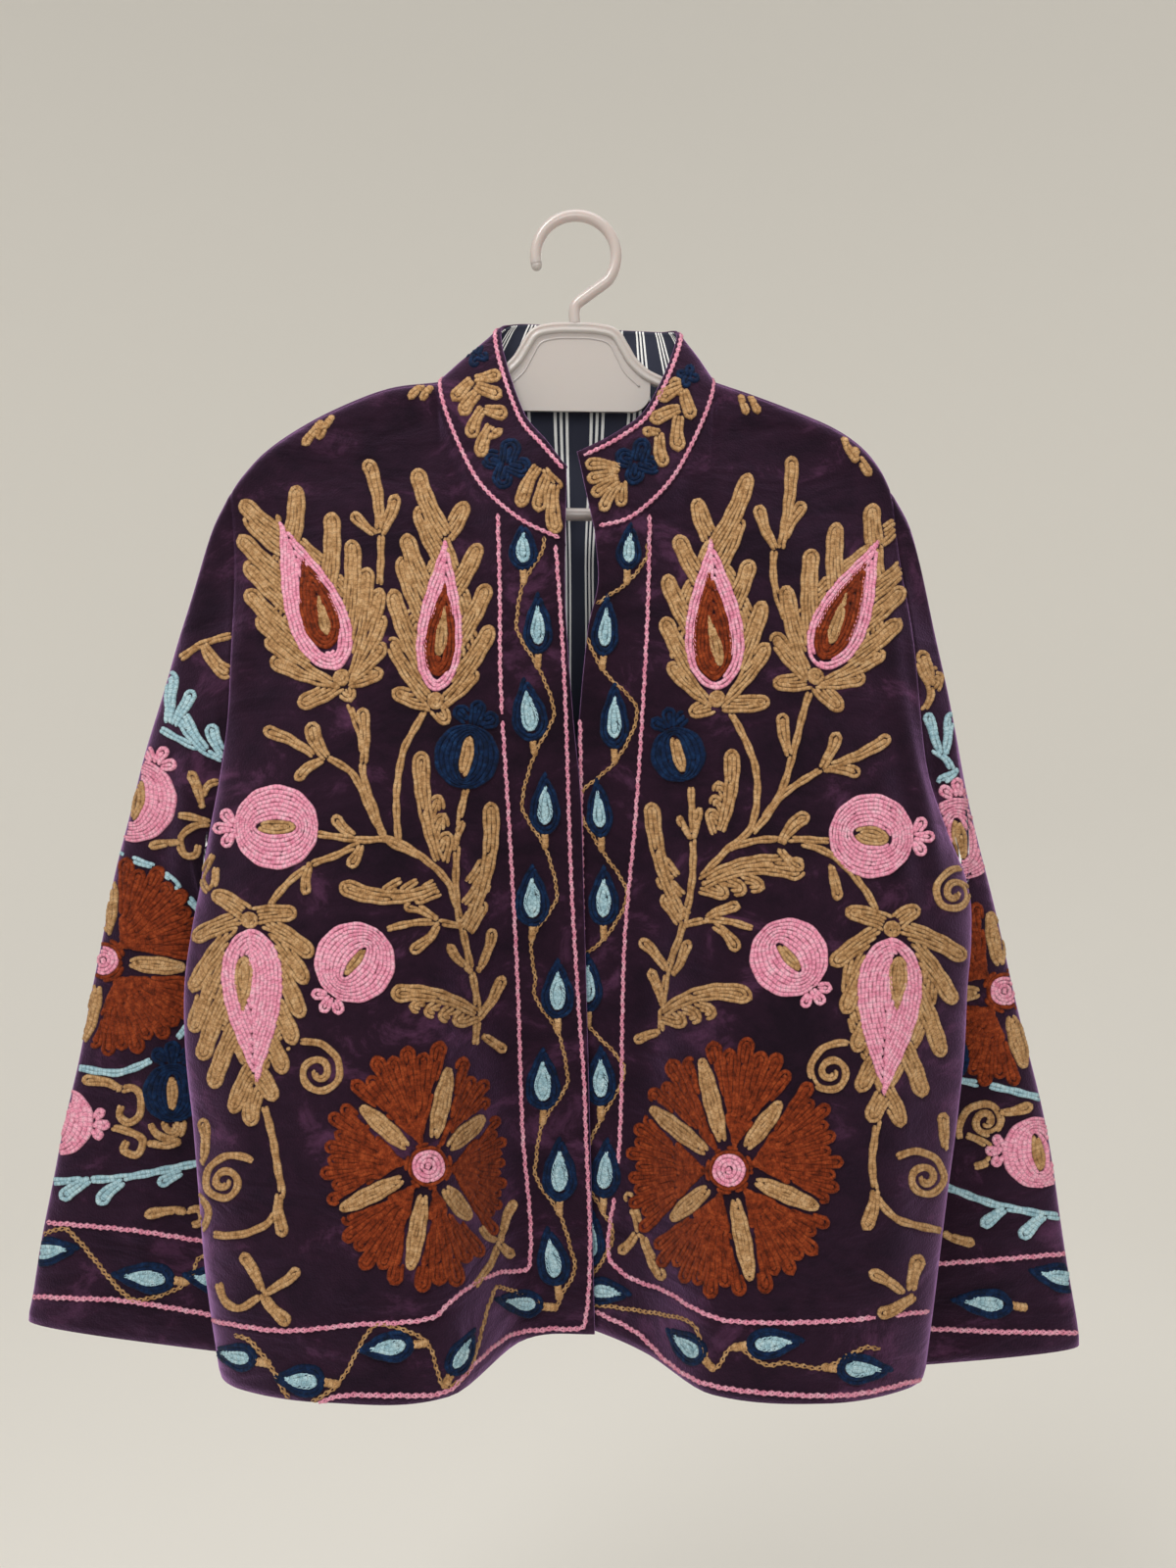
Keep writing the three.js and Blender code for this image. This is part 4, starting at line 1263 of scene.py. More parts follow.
# Lines that stems, edges and water-blue sprays follow
STEMS = {
    "front_left": [
        table(POINTS, (348, 695), (360, 728), (369, 756), (371, 792), (382, 825), (394, 856), (430, 874)),
        table(POINTS, (439, 716), (424, 742), (412, 765), (405, 805), (405, 837), (407, 860)),
        table(POINTS, (389, 542), (388, 585), (383, 632)),
        table(POINTS, (333, 772), (360, 790), (380, 832), (392, 852)),
        table(POINTS, (476, 804), (470, 830), (466, 868), (466, 920), (476, 967), (487, 1025), (485, 1066)),
        table(POINTS, (324, 851), (369, 857), (400, 857), (430, 874), (457, 900), (466, 926)),
        table(POINTS, (369, 860), (340, 874), (318, 882), (290, 905), (264, 940)),
        table(POINTS, (395, 948), (420, 942), (446, 941), (482, 947)),
        table(
            POINTS, (270, 1129), (278, 1160), (283, 1190), (287, 1222), (273, 1248), (244, 1260),
            (218, 1260),
        ),
        table(POINTS, (223, 1309), (230, 1328), (244, 1335), (267, 1322)),
        table(POINTS, (490, 1252), (498, 1262), (508, 1268), (500, 1290), (484, 1312)),
        table(POINTS, (218, 872), (211, 884), (207, 898), (213, 910), (219, 900), (221, 885)),
    ],
    "front_right": [
        table(POINTS, (739, 716), (758, 750), (771, 784), (772, 820), (764, 848), (743, 866), (716, 894)),
        table(POINTS, (829, 698), (820, 726), (810, 766), (800, 800), (786, 828), (768, 850)),
        table(POINTS, (838, 785), (820, 796), (800, 810), (779, 834)),
        table(POINTS, (790, 562), (789, 585), (794, 611), (804, 638)),
        table(POINTS, (705, 803), (707, 850), (706, 900), (696, 948), (681, 992), (676, 1030), (674, 1052)),
        table(POINTS, (698, 944), (719, 939), (742, 940), (768, 947)),
        table(POINTS, (743, 866), (770, 858), (800, 856), (846, 858)),
        table(POINTS, (818, 860), (848, 872), (870, 892), (890, 920), (897, 940)),
        table(
            POINTS, (896, 1142), (892, 1165), (890, 1190), (896, 1222), (914, 1243), (938, 1251),
            (962, 1256),
        ),
        table(POINTS, (984, 1262), (972, 1256), (960, 1256)),
    ],
    "sleeve_left": [
        table(POINTS, (184, 672), (205, 658), (236, 648)),
        table(POINTS, (182, 832), (198, 834), (214, 840)),
        table(POINTS, (207, 812), (214, 800), (232, 796)),
        table(POINTS, (214, 840), (196, 844), (184, 856), (188, 872), (200, 872), (203, 862)),
        table(
            POINTS, (124, 1112), (136, 1110), (144, 1120), (142, 1138), (132, 1146), (122, 1138),
            (124, 1128),
        ),
        table(POINTS, (96, 1148), (130, 1154), (146, 1164), (140, 1178), (126, 1174), (130, 1164)),
        table(POINTS, (190, 1236), (204, 1234), (206, 1246), (196, 1250)),
    ],
    "sleeve_right": [
        table(POINTS, (920, 640), (938, 680), (950, 710), (935, 735), (930, 760)),
        table(POINTS, (950, 688), (966, 694)),
        table(POINTS, (986, 1158), (1000, 1164), (1012, 1172), (1008, 1186), (994, 1190)),
    ],
    "back": [
        table(POINTS, (600, 650), (600, 700)),
        table(POINTS, (600, 802), (604, 825), (600, 846)),
        table(POINTS, (600, 922), (596, 970), (600, 1014)),
    ],
}
PINK_LINES = {
    "front_left": [
        table(
            POINTS, (567, 556), (573, 640), (577, 720), (583, 900), (590, 1020), (597, 1130), (597, 1350),
            (560, 1356), (522, 1362), (488, 1388), (455, 1420), (400, 1424), (350, 1424), (310, 1434),
            (262, 1428), (214, 1420),
        ),
        table(
            POINTS, (508, 524), (510, 600), (511, 700), (520, 850), (528, 1000), (533, 1150), (540, 1292),
            (512, 1298), (490, 1306), (462, 1326), (440, 1345), (360, 1352), (290, 1358), (240, 1352),
            (212, 1346),
        ),
    ],
    "front_right": [
        table(
            POINTS, (663, 525), (661, 620), (656, 720), (648, 840), (638, 950), (635, 1040), (634, 1120),
            (630, 1200), (621, 1280), (640, 1302), (680, 1318), (710, 1336), (745, 1348), (850, 1348),
            (948, 1338),
        ),
        table(
            POINTS, (607, 1338), (650, 1360), (684, 1392), (720, 1412), (790, 1422), (870, 1423),
            (942, 1407),
        ),
        table(POINTS, (607, 548), (600, 590), (590, 660), (592, 740), (594, 900), (600, 1338)),
    ],
    "sleeve_left": [
        table(POINTS, (30, 1246), (90, 1251), (140, 1256), (204, 1266), (330, 1286)),
        table(POINTS, (16, 1322), (80, 1325), (124, 1327), (212, 1341), (330, 1362)),
    ],
    "sleeve_right": [
        table(POINTS, (800, 1298), (948, 1290), (1020, 1285), (1100, 1278)),
        table(POINTS, (800, 1358), (948, 1356), (1020, 1359), (1120, 1360)),
    ],
    "back": [
        table(POINTS, (180, 1410), (600, 1412), (1020, 1410)),
        table(POINTS, (180, 1336), (600, 1332), (1020, 1336)),
    ],
}
BLUE_LINES = {
    "sleeve_left": [
        table(POINTS, (122, 872), (144, 880), (164, 888), (192, 916), (212, 940)),
        table(POINTS, (70, 1087), (100, 1093), (124, 1094), (164, 1076), (184, 1056), (205, 1030)),
        table(POINTS, (164, 744), (190, 758), (220, 772), (236, 782)),
        table(POINTS, (44, 1206), (90, 1204), (130, 1201), (196, 1188), (215, 1184)),
    ],
    "sleeve_right": [
        table(POINTS, (952, 764), (966, 776), (974, 790)),
        table(POINTS, (960, 940), (985, 955), (1020, 925), (1050, 900)),
        table(POINTS, (962, 1098), (988, 1104), (1020, 1110), (1072, 1123)),
        table(POINTS, (950, 1206), (968, 1212), (1012, 1228), (1048, 1236), (1090, 1243)),
    ],
}
COLLAR_GOLD = {
    "photo": table(
        SPINE, (512, 380, 484, 386, 14), (463, 410, 482, 388, 16), (513, 402, 485, 393, 16),
        (471, 424, 489, 399, 17), (519, 421, 494, 417, 17), (480, 448, 493, 416, 16),
        (513, 437, 498, 446, 10), (490, 467, 501, 434, 17), (531, 518, 549, 476, 17),
        (550, 523, 559, 484, 16), (568, 545, 566, 494, 18), (574, 500, 556, 478, 13),
        (596, 474, 633, 478, 14), (599, 491, 631, 484, 14), (604, 506, 632, 490, 14),
        (614, 522, 634, 492, 14), (635, 518, 637, 490, 14), (672, 409, 696, 394, 17),
        (664, 431, 694, 417, 17), (655, 442, 673, 441, 12), (678, 477, 673, 441, 16),
        (693, 461, 693, 424, 17), (708, 427, 698, 397, 16), (684, 386, 693, 404, 17),
    ),
    "behind": table(
        SPINE, (562, 350, 545, 362, 11), (560, 377, 543, 366, 11), (540, 348, 524, 362, 11),
        (538, 379, 522, 368, 11), (518, 352, 504, 362, 11), (614, 350, 631, 362, 11),
        (616, 377, 633, 366, 11), (636, 348, 652, 362, 11), (638, 379, 654, 368, 11),
        (658, 352, 672, 362, 11),
    ),
}

# The ends of the sprays that come over the shoulders from the back
SHOULDER_GOLD = {
    "front_left": table(
        SPINE, (417, 408, 438, 388, 9), (430, 410, 442, 392, 9), (310, 456, 330, 430, 10),
        (324, 450, 340, 424, 9),
    ),
    "front_right": table(
        SPINE, (763, 424, 756, 398, 9), (776, 422, 764, 400, 9), (876, 472, 860, 444, 10),
        (890, 486, 872, 456, 10),
    ),
}
COLLAR_FLOWERS = {
    "photo": table("x y size", (517, 473, 27), (651, 471, 25), (486, 362, 14), (702, 384, 13)),
    "behind": table("x y size", (588, 364, 17), (486, 362, 12), (690, 362, 12)),
}

# Shares of the collar's height at which its two pink lines run
COLLAR_LINES = (0.13, 0.86)

# Rows of stitches, and how they fill a shape
PATH_SPACING = 2.2
LINE_WIDTH = 4.4
WOBBLE = 0.4
WOBBLE_STEP = 0.62
WOBBLE_SHIFT = 2.4
COVER_MARGIN = -0.6
LEAST_WIDTH = 0.55
LEAST_STRAND = 0.35
ONE_STRAND = 0.95
TWO_STRANDS = 1.35
STRAND_ASIDE = 0.45
BACKING = 0.12
BACKED_WIDTH = 0.8
ROOT_REACH = 1
UNDER_LIFT = -0.3
INNER_LIFT = 0.14
INNER_MARGIN = -2.1
SPINE_SAMPLES = 28
FOOT_SAMPLES = 20
RING_SAMPLES = 72
RING_TURN = 29

# Drops, and the flowers round them
DROP_WIDEST = 0.7
DROP_POINTEDNESS = 1.25
FINGER_SLANT = 1.9
FINGER_FIRST = 4
FINGER_LAST = 12
FINGER_WIDTH = 17
FINGER_ROOT = 1.15
FINGER_BEND = 0.05
CALYX_LENGTH = 18
CALYX_WIDTH = 17
CALYX_RINGS = 3
SHEATH_TIP = 8
SHEATH_FOOT = 9
SHEATH_WIDTH = 32

# Round fruit, and the slits in them
RING_OVERLAP = 1.05
LENS_SAMPLES = 21
LENS_POINTEDNESS = 1.4
CROWN_SPREAD = math.radians(54)
CROWN_ROOT = 0.5
CROWN_TUCK = 2
CROWN_LENGTH = {"pink": 0.56, "navy": 0.86}
CROWN_WIDTH = {"pink": 0.34, "navy": 0.62}

# Rosettes
SEPAL_START = 7
SEPAL_WIDTH = 18
SEPAL_MARGIN = 2.4
SEPAL_FIRST = 0.04
SEPAL_SAMPLES = 24
FAN_START = 3
FAN_GAP_IN = 9
FAN_GAP_OUT = 5.5
FAN_GAP_MOST = 0.4
FAN_STEP = 14
FAN_ROOT = 1.6
FAN_MARGIN = -1.9
PETAL_WIDTH = 15.5
PETAL_LENGTHS = (1.0, 0.93, 1.03, 0.96)

# Buds and their vine
CORE_RISE = 0.31
CORE_FALL = 0.36
CORE_WIDTH = 0.5
STALK_TUCK = 3
STALK_LENGTH = 18
STALK_WIDTH = 7
FEWEST_BUDS = 3
VINE_SPAN = 0.14
VINE_FOOT = 13
VINE_GAP = 6

# Leaves, sprays, spirals and small flowers
LEAF_ROOT = 0.55
LOBED_WIDTH = 1.3
LOBE_WIDTH = 16
LOBE_ROOT = 1.3
LOBE_FIRST = 0.25
LOBE_STEP = 0.17
LOBE_REACH = 15
LOBE_SHRINKS = 2
SPRAY_ROOT = 0.6
SPRAY_BEND = {"collar": 0.06, "shoulder": 0.05}
SPIRAL_OPENS = 3.1 * math.pi
SPIRAL_ENDS = 3.9 * np.pi
SPIRAL_SAMPLES = 110
SPIRAL_EYE = 0.12
SPIRAL_TAIL = 0.14
SPIRAL_ASIDE = 0.42
ROUND_LOBE_WIDTH = 0.86
ROUND_LOBE_ROOT = 0.8
ROUND_LOBE_TURNS = (-75, 15, 105, 195)

# How motifs are laid on the cloth, and the limits there
BEHIND_Y = 260.0
BEHIND_SCALE = {"back": 0.57}
GRAZING = -0.12
SIDE_LIMIT = 0.62

# The ends of a row of stitches, as shares of its width and height
END_WIDTH = 0.55
END_HEIGHT = 0.2
# Across a stitch: the place from -1 to 1, the height at the link's middle and at its neck, and the lead
PROFILES = {
    "full": table("across middle neck lead", (-1, -0.1, -0.1, 0), (-0.55, 1, 0.8, 0), (0, 0.45, 0.95, 0.42),
                  (0.55, 1, 0.8, 0), (1, -0.1, -0.1, 0)),
    "open": table("across middle neck lead", (-1, -0.1, -0.1, 0), (-0.62, 0.9, 0.8, 0), (0, -0.5, 1.05, 0.3),
                  (0.62, 0.9, 0.8, 0), (1, -0.1, -0.1, 0)),
    "plain": table("across middle neck lead", (-1, -0.1, -0.1, 0), (0, 0.85, 1.0, 0.2), (1, -0.1, -0.1, 0)),
}
# A link's length in mm, and its width at the middle and at the neck as shares of the row's width
LINKS = {"full": (3.0, 1.16, 1.0), "open": (4.4, 1.2, 0.58), "plain": (3.0, 1.16, 1.0)}


class Ground:
    """The places of one face of a cloth piece that motifs already cover, in the photograph's pixels."""

    def __init__(self):
        self.covers = []

    def cover(self, centres, radii):
        centres = np.atleast_2d(centres)
        radii = np.broadcast_to(radii, len(centres))
        reach = radii.max()
        self.covers.append((centres.min(axis=0) - reach, centres.max(axis=0) + reach, centres, radii))

    def is_free(self, points):
        low, high = points.min(axis=0), points.max(axis=0)
        free = np.ones(len(points), bool)
        for cover_low, cover_high, centres, radii in self.covers:
            if (cover_low > high).any() or (cover_high < low).any():
                continue
            away = np.linalg.norm(points[:, None] - centres[None], axis=-1)
            free &= (away > radii[None]).all(axis=1)
        return free


def runs(keep):
    """Where unbroken stretches of kept places start and end."""
    edges = np.flatnonzero(np.diff(np.concatenate([[0], keep.astype(int), [0]])))
    return zip(edges[::2], edges[1::2])


def resample(points, spacing):
    """Points at an even spacing along a path. Columns after the first two are carried along."""
    lengths = lengths_along(points[:, :2])
    at = np.linspace(0, lengths[-1], max(int(lengths[-1] / spacing), 2) + 1)
    return stacked(*(np.interp(at, lengths, values) for values in points.T))


def heading(angle):
    return np.array([math.cos(angle), math.sin(angle)])


def finger_shape(root, tip, root_half, tip_half, bend=0.0):
    """A finger from its root to a round tip, as a function that gives its spine and half widths, inset."""
    root, tip = np.asarray(root, float), np.asarray(tip, float)
    length = np.linalg.norm(tip - root)
    aside = np.array([root[1] - tip[1], tip[0] - root[0]]) * bend

    def shape(inset):
        end = length - inset
        radius = max(tip_half - inset, 0)
        s = end * np.sin(np.linspace(0, np.pi / 2, SPINE_SAMPLES))
        half = lerp(root_half, tip_half, s / length) - inset
        past = s > end - radius
        half[past] = np.minimum(half[past], np.sqrt(np.maximum(radius**2 - (s[past] - end + radius) ** 2, 0)))
        t = (s / length)[:, None]
        return lerp(root, tip, t) + aside * 4 * t * (1 - t), half

    return shape


def drop_shape(tip, foot, half_width):
    """A drop with a pointed tip and a round foot."""
    tip, foot = np.asarray(tip, float), np.asarray(foot, float)
    length = np.linalg.norm(foot - tip)
    widest_at = DROP_WIDEST * length

    def shape(inset):
        s = widest_at * np.linspace(0, 1, SPINE_SAMPLES, endpoint=False)
        rise = half_width * np.sin(s / widest_at * np.pi / 2) ** DROP_POINTEDNESS - inset
        angle = np.linspace(0, np.pi / 2, FOOT_SAMPLES)
        end = max(length - inset - widest_at, 0)
        s = np.concatenate([s, widest_at + end * np.sin(angle)])
        half = np.concatenate([rise, (half_width - inset) * np.cos(angle)])
        return lerp(tip, foot, (s / length)[:, None]), half

    return shape


def ellipse(middle, turn, long_half, short_half):
    angle = np.linspace(0, 2 * np.pi, RING_SAMPLES)
    cosine, sine = heading(math.radians(turn))
    across, up = long_half * np.cos(angle), short_half * np.sin(angle)
    return stacked(middle[0] + across * cosine - up * sine, middle[1] + across * sine + up * cosine)


def turned(ring, steps):
    """A closed ring's values, starting further round."""
    rolled = np.roll(ring[:-1], -steps, axis=0)
    return np.concatenate([rolled, rolled[:1]])


class Needlework:
    """Motifs worked on one face of a cloth piece, as rows of chain stitch in the photograph's pixels."""

    def __init__(self, view):
        self.view = view
        self.ground = Ground()
        self.rows = {}
        self.count = 0

    def row(self, colour, path, width=ROW, lift=0, under=False):
        """A row along a path, left out where an earlier motif lies, unless it runs on under that.

        The width may change from point to point.
        """
        path = np.asarray(path, float)
        widths = np.broadcast_to(width, len(path))
        path = resample(np.column_stack([path, widths, np.full(len(path), lift)]), PATH_SPACING)
        self.count += 1
        sway = np.sin(np.arange(len(path)) * WOBBLE_STEP + self.count * WOBBLE_SHIFT)
        path[:, :2] += left_normals(path[:, :2]) * (WOBBLE * sway)[:, None]
        free = np.ones(len(path), bool) if under else self.ground.is_free(path[:, :2])
        for start, end in runs(free):
            if end - start >= 2:
                self.rows.setdefault(colour, []).append(path[start:end])

    def fill(self, colour, shape, margin=COVER_MARGIN, lift=0):
        """Rows that follow a shape's outline, one inside the other, and then the shape covers its ground."""
        inset = 0
        while True:
            _, room = shape(inset)
            if room.max() < LEAST_STRAND * ROW:
                break
            spine, _ = shape(inset + ROW / 2)
            single = room < ONE_STRAND * ROW
            double = ~single & (room < TWO_STRANDS * ROW)
            width = np.where(single, 2 * room, np.where(double, room, ROW))
            width = np.maximum(width, LEAST_WIDTH * ROW)
            if single.all():
                used = room > LEAST_STRAND / 2 * ROW
                if used.sum() > 2:
                    self.row(colour, spine[used], width[used], lift)
                break
            away = np.where(single, 0, np.where(double, room / 2, room - ROW / 2))
            aside = left_normals(spine) * away[:, None]
            out = room > LEAST_STRAND / 2 * ROW
            back = ~single
            there = np.concatenate([(spine + aside)[out], (spine - aside)[back][::-1]])
            self.row(colour, there, np.concatenate([width[out], width[back][::-1]]), lift)
            inset += ROW
        outline, half = shape(0)
        from_root = np.linalg.norm(outline - outline[0], axis=-1)
        self.ground.cover(outline, np.minimum(np.maximum(half, 0), from_root + ROOT_REACH) + margin)

    def drop(self, colour, tip, foot, width, lift=0):
        """A filled drop. A row along its spine backs the ones that meet there."""
        margin = INNER_MARGIN if lift else COVER_MARGIN
        shape = drop_shape(tip, foot, width / 2)
        spine, half = shape(0)
        self.row(colour, spine[half > ROW * BACKED_WIDTH], ROW, lift - BACKING)
        self.fill(colour, shape, margin, lift)

    def finger(self, colour, root, tip, width, root_share, bend=0.0):
        self.fill(colour, finger_shape(root, tip, width / 2 * root_share, width / 2, bend))

    def sprays(self, rows, bend):
        """Separate gold fingers."""
        for tip_x, tip_y, foot_x, foot_y, width in rows:
            self.finger("gold", (foot_x, foot_y), (tip_x, tip_y), width, SPRAY_ROOT, bend)

    def vine(self, colour, points, strands=2):
        path = smooth_path(points_in(points), PATH_SPACING)
        if strands == 1:
            self.row(colour, path, LINE_WIDTH)
            return
        for side in (-STRAND_ASIDE, STRAND_ASIDE):
            self.row(colour, path + left_normals(path) * side * ROW)

    def flower(self, drops, fingers):
        """A tall flower: a drop of three colours with fingers all round it."""
        colours = ("gold", "rust", "pink") if len(drops["width"]) == 3 else ("gold", "pink")
        for i, colour in enumerate(colours):
            tip, foot = (drops["tip_x"][i], drops["tip_y"][i]), (drops["foot_x"][i], drops["foot_y"][i])
            self.drop(colour, tip, foot, drops["width"][i], INNER_LIFT * (len(colours) - i))
        tip, foot = np.array(tip), np.array(foot)
        length = np.linalg.norm(foot - tip)
        axis = (foot - tip) / length
        for i in range(CALYX_RINGS):
            radius = CALYX_WIDTH / 2 * (i + 0.5) / CALYX_RINGS
            ring = ellipse(foot + axis * CALYX_LENGTH / 2, 0, radius, radius)
            self.row("gold", ring, ROW, UNDER_LIFT, True)
        self.finger("gold", foot, foot + axis * CALYX_LENGTH, CALYX_WIDTH, 1)
        for point in points_in(fingers):
            along = np.dot(point - tip, axis)
            aside = abs(np.cross(point - tip, axis))
            root_at = np.clip(along + FINGER_SLANT * aside, FINGER_FIRST, length + FINGER_LAST)
            lean = np.sign(np.cross(point - tip, axis))
            self.finger("gold", tip + axis * root_at, point, FINGER_WIDTH, FINGER_ROOT, lean * FINGER_BEND)
        sheath = (tip - axis * SHEATH_TIP, foot + axis * SHEATH_FOOT)
        self.drop("gold", *sheath, drops["width"][-1] + SHEATH_WIDTH)

    def fruit(self, colour, x, y, radius, crown_x, crown_y, slit_turn, slit_length, slit_width):
        """A round fruit with a slit of gold and a crown of three fingers."""
        middle = np.array([x, y])
        self.lens("gold", middle, slit_turn, slit_length, slit_width)
        rings = max(round((radius - (slit_length + slit_width) / 4) / ROW), 2)
        for i in range(rings):
            share = (i + 0.5) / rings
            half_along, half_aside = lerp(radius, slit_length / 2, share), lerp(radius, slit_width / 2, share)
            ring = ellipse(middle, slit_turn, half_along, half_aside)
            gap_along, gap_aside = (radius - slit_length / 2) / rings, (radius - slit_width / 2) / rings
            angle = np.linspace(0, 2 * np.pi, len(ring))
            widths = np.hypot(gap_along * np.cos(angle), gap_aside * np.sin(angle)) * RING_OVERLAP
            self.row(colour, *(turned(values, i * RING_TURN) for values in (ring, widths)))
        self.ground.cover(middle, radius + COVER_MARGIN)
        out = np.array([crown_x - x, crown_y - y])
        out = out / np.linalg.norm(out)
        root = middle + out * (radius - CROWN_TUCK)
        for turn in (0, -CROWN_SPREAD, CROWN_SPREAD):
            cosine, sine = heading(turn)
            leaning = np.array([out[0] * cosine - out[1] * sine, out[0] * sine + out[1] * cosine])
            tip = root + leaning * (CROWN_LENGTH[colour] * radius)
            self.finger(colour, root, tip, CROWN_WIDTH[colour] * radius, CROWN_ROOT)

    def lens(self, colour, middle, turn, length, width):
        """A slit, pointed at both ends."""
        reach = heading(math.radians(turn)) * length / 2
        middle = np.asarray(middle, float)

        def shape(inset):
            t = np.linspace(-1, 1, LENS_SAMPLES)
            half = (width / 2 - inset) * np.sqrt(np.maximum(1 - t**2, 0))
            return middle + reach * (1 - LENS_POINTEDNESS * inset / length) * t[:, None], half

        self.fill(colour, shape)

    def rosette(self, middle, reach, sepals):
        """A great flower: fans of rust fingers between gold sepals round a pink middle."""
        centre = np.array(middle[:2], float)
        disc = middle[2]
        rings = round(disc / ROW)
        for i in range(rings):
            radius = disc * (i + 0.5) / rings
            self.row("pink", turned(ellipse(centre, 0, radius, radius), i * RING_TURN), disc / rings)
        self.ground.cover(centre, disc + COVER_MARGIN)
        tips = points_in(sepals)
        for tip in tips:
            out = unit(tip - centre)
            root = centre + out * (disc + SEPAL_START)
            turn = math.degrees(math.atan2(out[1], out[0]))
            self.lens("gold", (root + tip) / 2, turn, np.linalg.norm(tip - root), SEPAL_WIDTH)
            t = np.linspace(SEPAL_FIRST, 1, SEPAL_SAMPLES)
            margin = SEPAL_WIDTH / 2 * np.sqrt(1 - (2 * t - 1) ** 2) + SEPAL_MARGIN
            self.ground.cover(lerp(root, tip, t[:, None]), margin)
        angles = np.sort(np.arctan2(tips[:, 1] - centre[1], tips[:, 0] - centre[0]))
        for first, last in zip(angles, np.append(angles[1:], angles[0] + 2 * np.pi)):
            self.fan(centre, disc, reach, first, last)
        for i in range(2):
            radius = disc + (i + 0.5) * ROW
            self.row("rust", ellipse(centre, 0, radius, radius))

    def fan(self, centre, disc, reach, first, last):
        """Fingers side by side from one sepal to the next. The reach is to the left, right, up and down."""
        left, right, up, down = reach
        inner = disc + FAN_START
        gap_in = min(FAN_GAP_IN / inner, (last - first) * FAN_GAP_MOST)
        gap_out = FAN_GAP_OUT / max(reach)
        span = last - first - 2 * gap_out
        count = max(round(span * sum(reach) / 4 / PETAL_WIDTH), 2)
        shares = (np.arange(count) + 0.5) / count
        for i in np.argsort(np.abs(shares - 0.5)):
            angle = lerp(first + gap_out, last - gap_out, shares[i])
            across = right if math.cos(angle) > 0 else left
            along = down if math.sin(angle) > 0 else up
            length = 1 / math.hypot(math.cos(angle) / across, math.sin(angle) / along)
            length *= PETAL_LENGTHS[int(i) % len(PETAL_LENGTHS)]
            tip = centre + length * heading(angle)
            angle = lerp(first + gap_in, last - gap_in, shares[i])
            start = inner + FAN_STEP * abs(2 * shares[i] - 1)
            root = centre + start * heading(angle)
            root_half = max(start * (last - first - 2 * gap_in) / count / 2, FAN_ROOT)
            self.fill("rust", finger_shape(root, tip, root_half, length * span / count / 2), FAN_MARGIN)

    def bud(self, x, y, turn, length, width):
        """A navy drop with a pale core and a stub of gold stalk. Its tip points up, turned clockwise."""
        turn = math.radians(turn)
        up = np.array([math.sin(turn), -math.cos(turn)])
        middle = np.array([x, y])
        core = (middle + up * length * CORE_RISE, middle - up * length * CORE_FALL)
        self.drop("light_blue", *core, width * CORE_WIDTH, INNER_LIFT)
        self.drop("navy", middle + up * length / 2, middle - up * length / 2, width)
        foot = middle - up * (length / 2 - STALK_TUCK)
        self.row("gold", [foot, foot - up * STALK_LENGTH], STALK_WIDTH, UNDER_LIFT / 2, True)

    def leaf(self, colour, root_x, root_y, tip_x, tip_y, bend, width, lobes):
        """A long leaf, with a number of lobes down one side or, where the number is negative, the other."""
        root, tip = np.array([root_x, root_y]), np.array([tip_x, tip_y])
        length = np.linalg.norm(tip - root)
        along = (tip - root) / length
        aside = np.array([-along[1], along[0]]) * np.sign(lobes)
        self.finger(colour, root, tip, width * (LOBED_WIDTH if lobes else 1), LEAF_ROOT, bend)
        for i in range(abs(int(lobes))):
            start = root + along * length * LOBE_STEP * i
            reach = aside * (LOBE_REACH - LOBE_SHRINKS * i)
            end = root + along * length * (LOBE_FIRST + LOBE_STEP * i) + reach
            self.finger(colour, start, end, LOBE_WIDTH, LOBE_ROOT)

    def spiral(self, x, y, radius, turn, sense):
        """A curled tendril that unwinds into a tail. It turns clockwise where its sense is positive."""
        angle = np.linspace(0, SPIRAL_ENDS, SPIRAL_SAMPLES)
        inner = SPIRAL_EYE + (1 - SPIRAL_EYE) * angle / SPIRAL_OPENS
        grow = radius * np.where(angle < SPIRAL_OPENS, inner, 1)
        grow = grow + radius * SPIRAL_TAIL * np.maximum(angle - SPIRAL_OPENS, 0) ** 2
        turn = math.radians(turn) + sense * (angle - SPIRAL_OPENS)
        path = stacked(x + grow * np.cos(turn), y + grow * np.sin(turn))
        for side in (-SPIRAL_ASIDE, SPIRAL_ASIDE):
            self.row("gold", path + left_normals(path) * side * ROW)

    def small_flower(self, x, y, size):
        """Four round lobes."""
        middle = np.array([x, y])
        for turn in ROUND_LOBE_TURNS:
            tip = middle + heading(math.radians(turn)) * size
            self.finger("navy", middle, tip, size * ROUND_LOBE_WIDTH, ROUND_LOBE_ROOT)


def rows_of(tables, name):
    """The rows of a piece's table, one after another, or none."""
    return rows_in(tables[name]) if name in tables else []


def work_motifs(work, name, borders=True):
    """Everything that one piece's tables call for, the nearest motifs first and the stems last."""
    for flower in FLOWERS.get(name, []):
        work.flower(**flower)
    for colour, fruit in (("pink", PINK_FRUIT), ("navy", NAVY_FRUIT)):
        for row in rows_of(fruit, name):
            work.fruit(colour, *row)
    if name in ROSETTES:
        work.rosette(**ROSETTES[name])
    if borders:
        for row in rows_of(BUDS, name):
            work.bud(*row)
    for colour, leaves in (("gold", LEAVES), ("light_blue", BLUE_SPRIGS)):
        for row in rows_of(leaves, name):
            work.leaf(colour, *row)
    for row in rows_of(SPIRALS, name):
        work.spiral(*row)
    work.sprays(rows_of(SHOULDER_GOLD, name), SPRAY_BEND["shoulder"])
    for colour, lines in (("gold", STEMS), ("light_blue", BLUE_LINES)):
        for points in lines.get(name, []):
            work.vine(colour, points)
    if borders:
        for points in PINK_LINES.get(name, []):
            work.vine("pink_line", points, 1)
        border_vine(work, name)


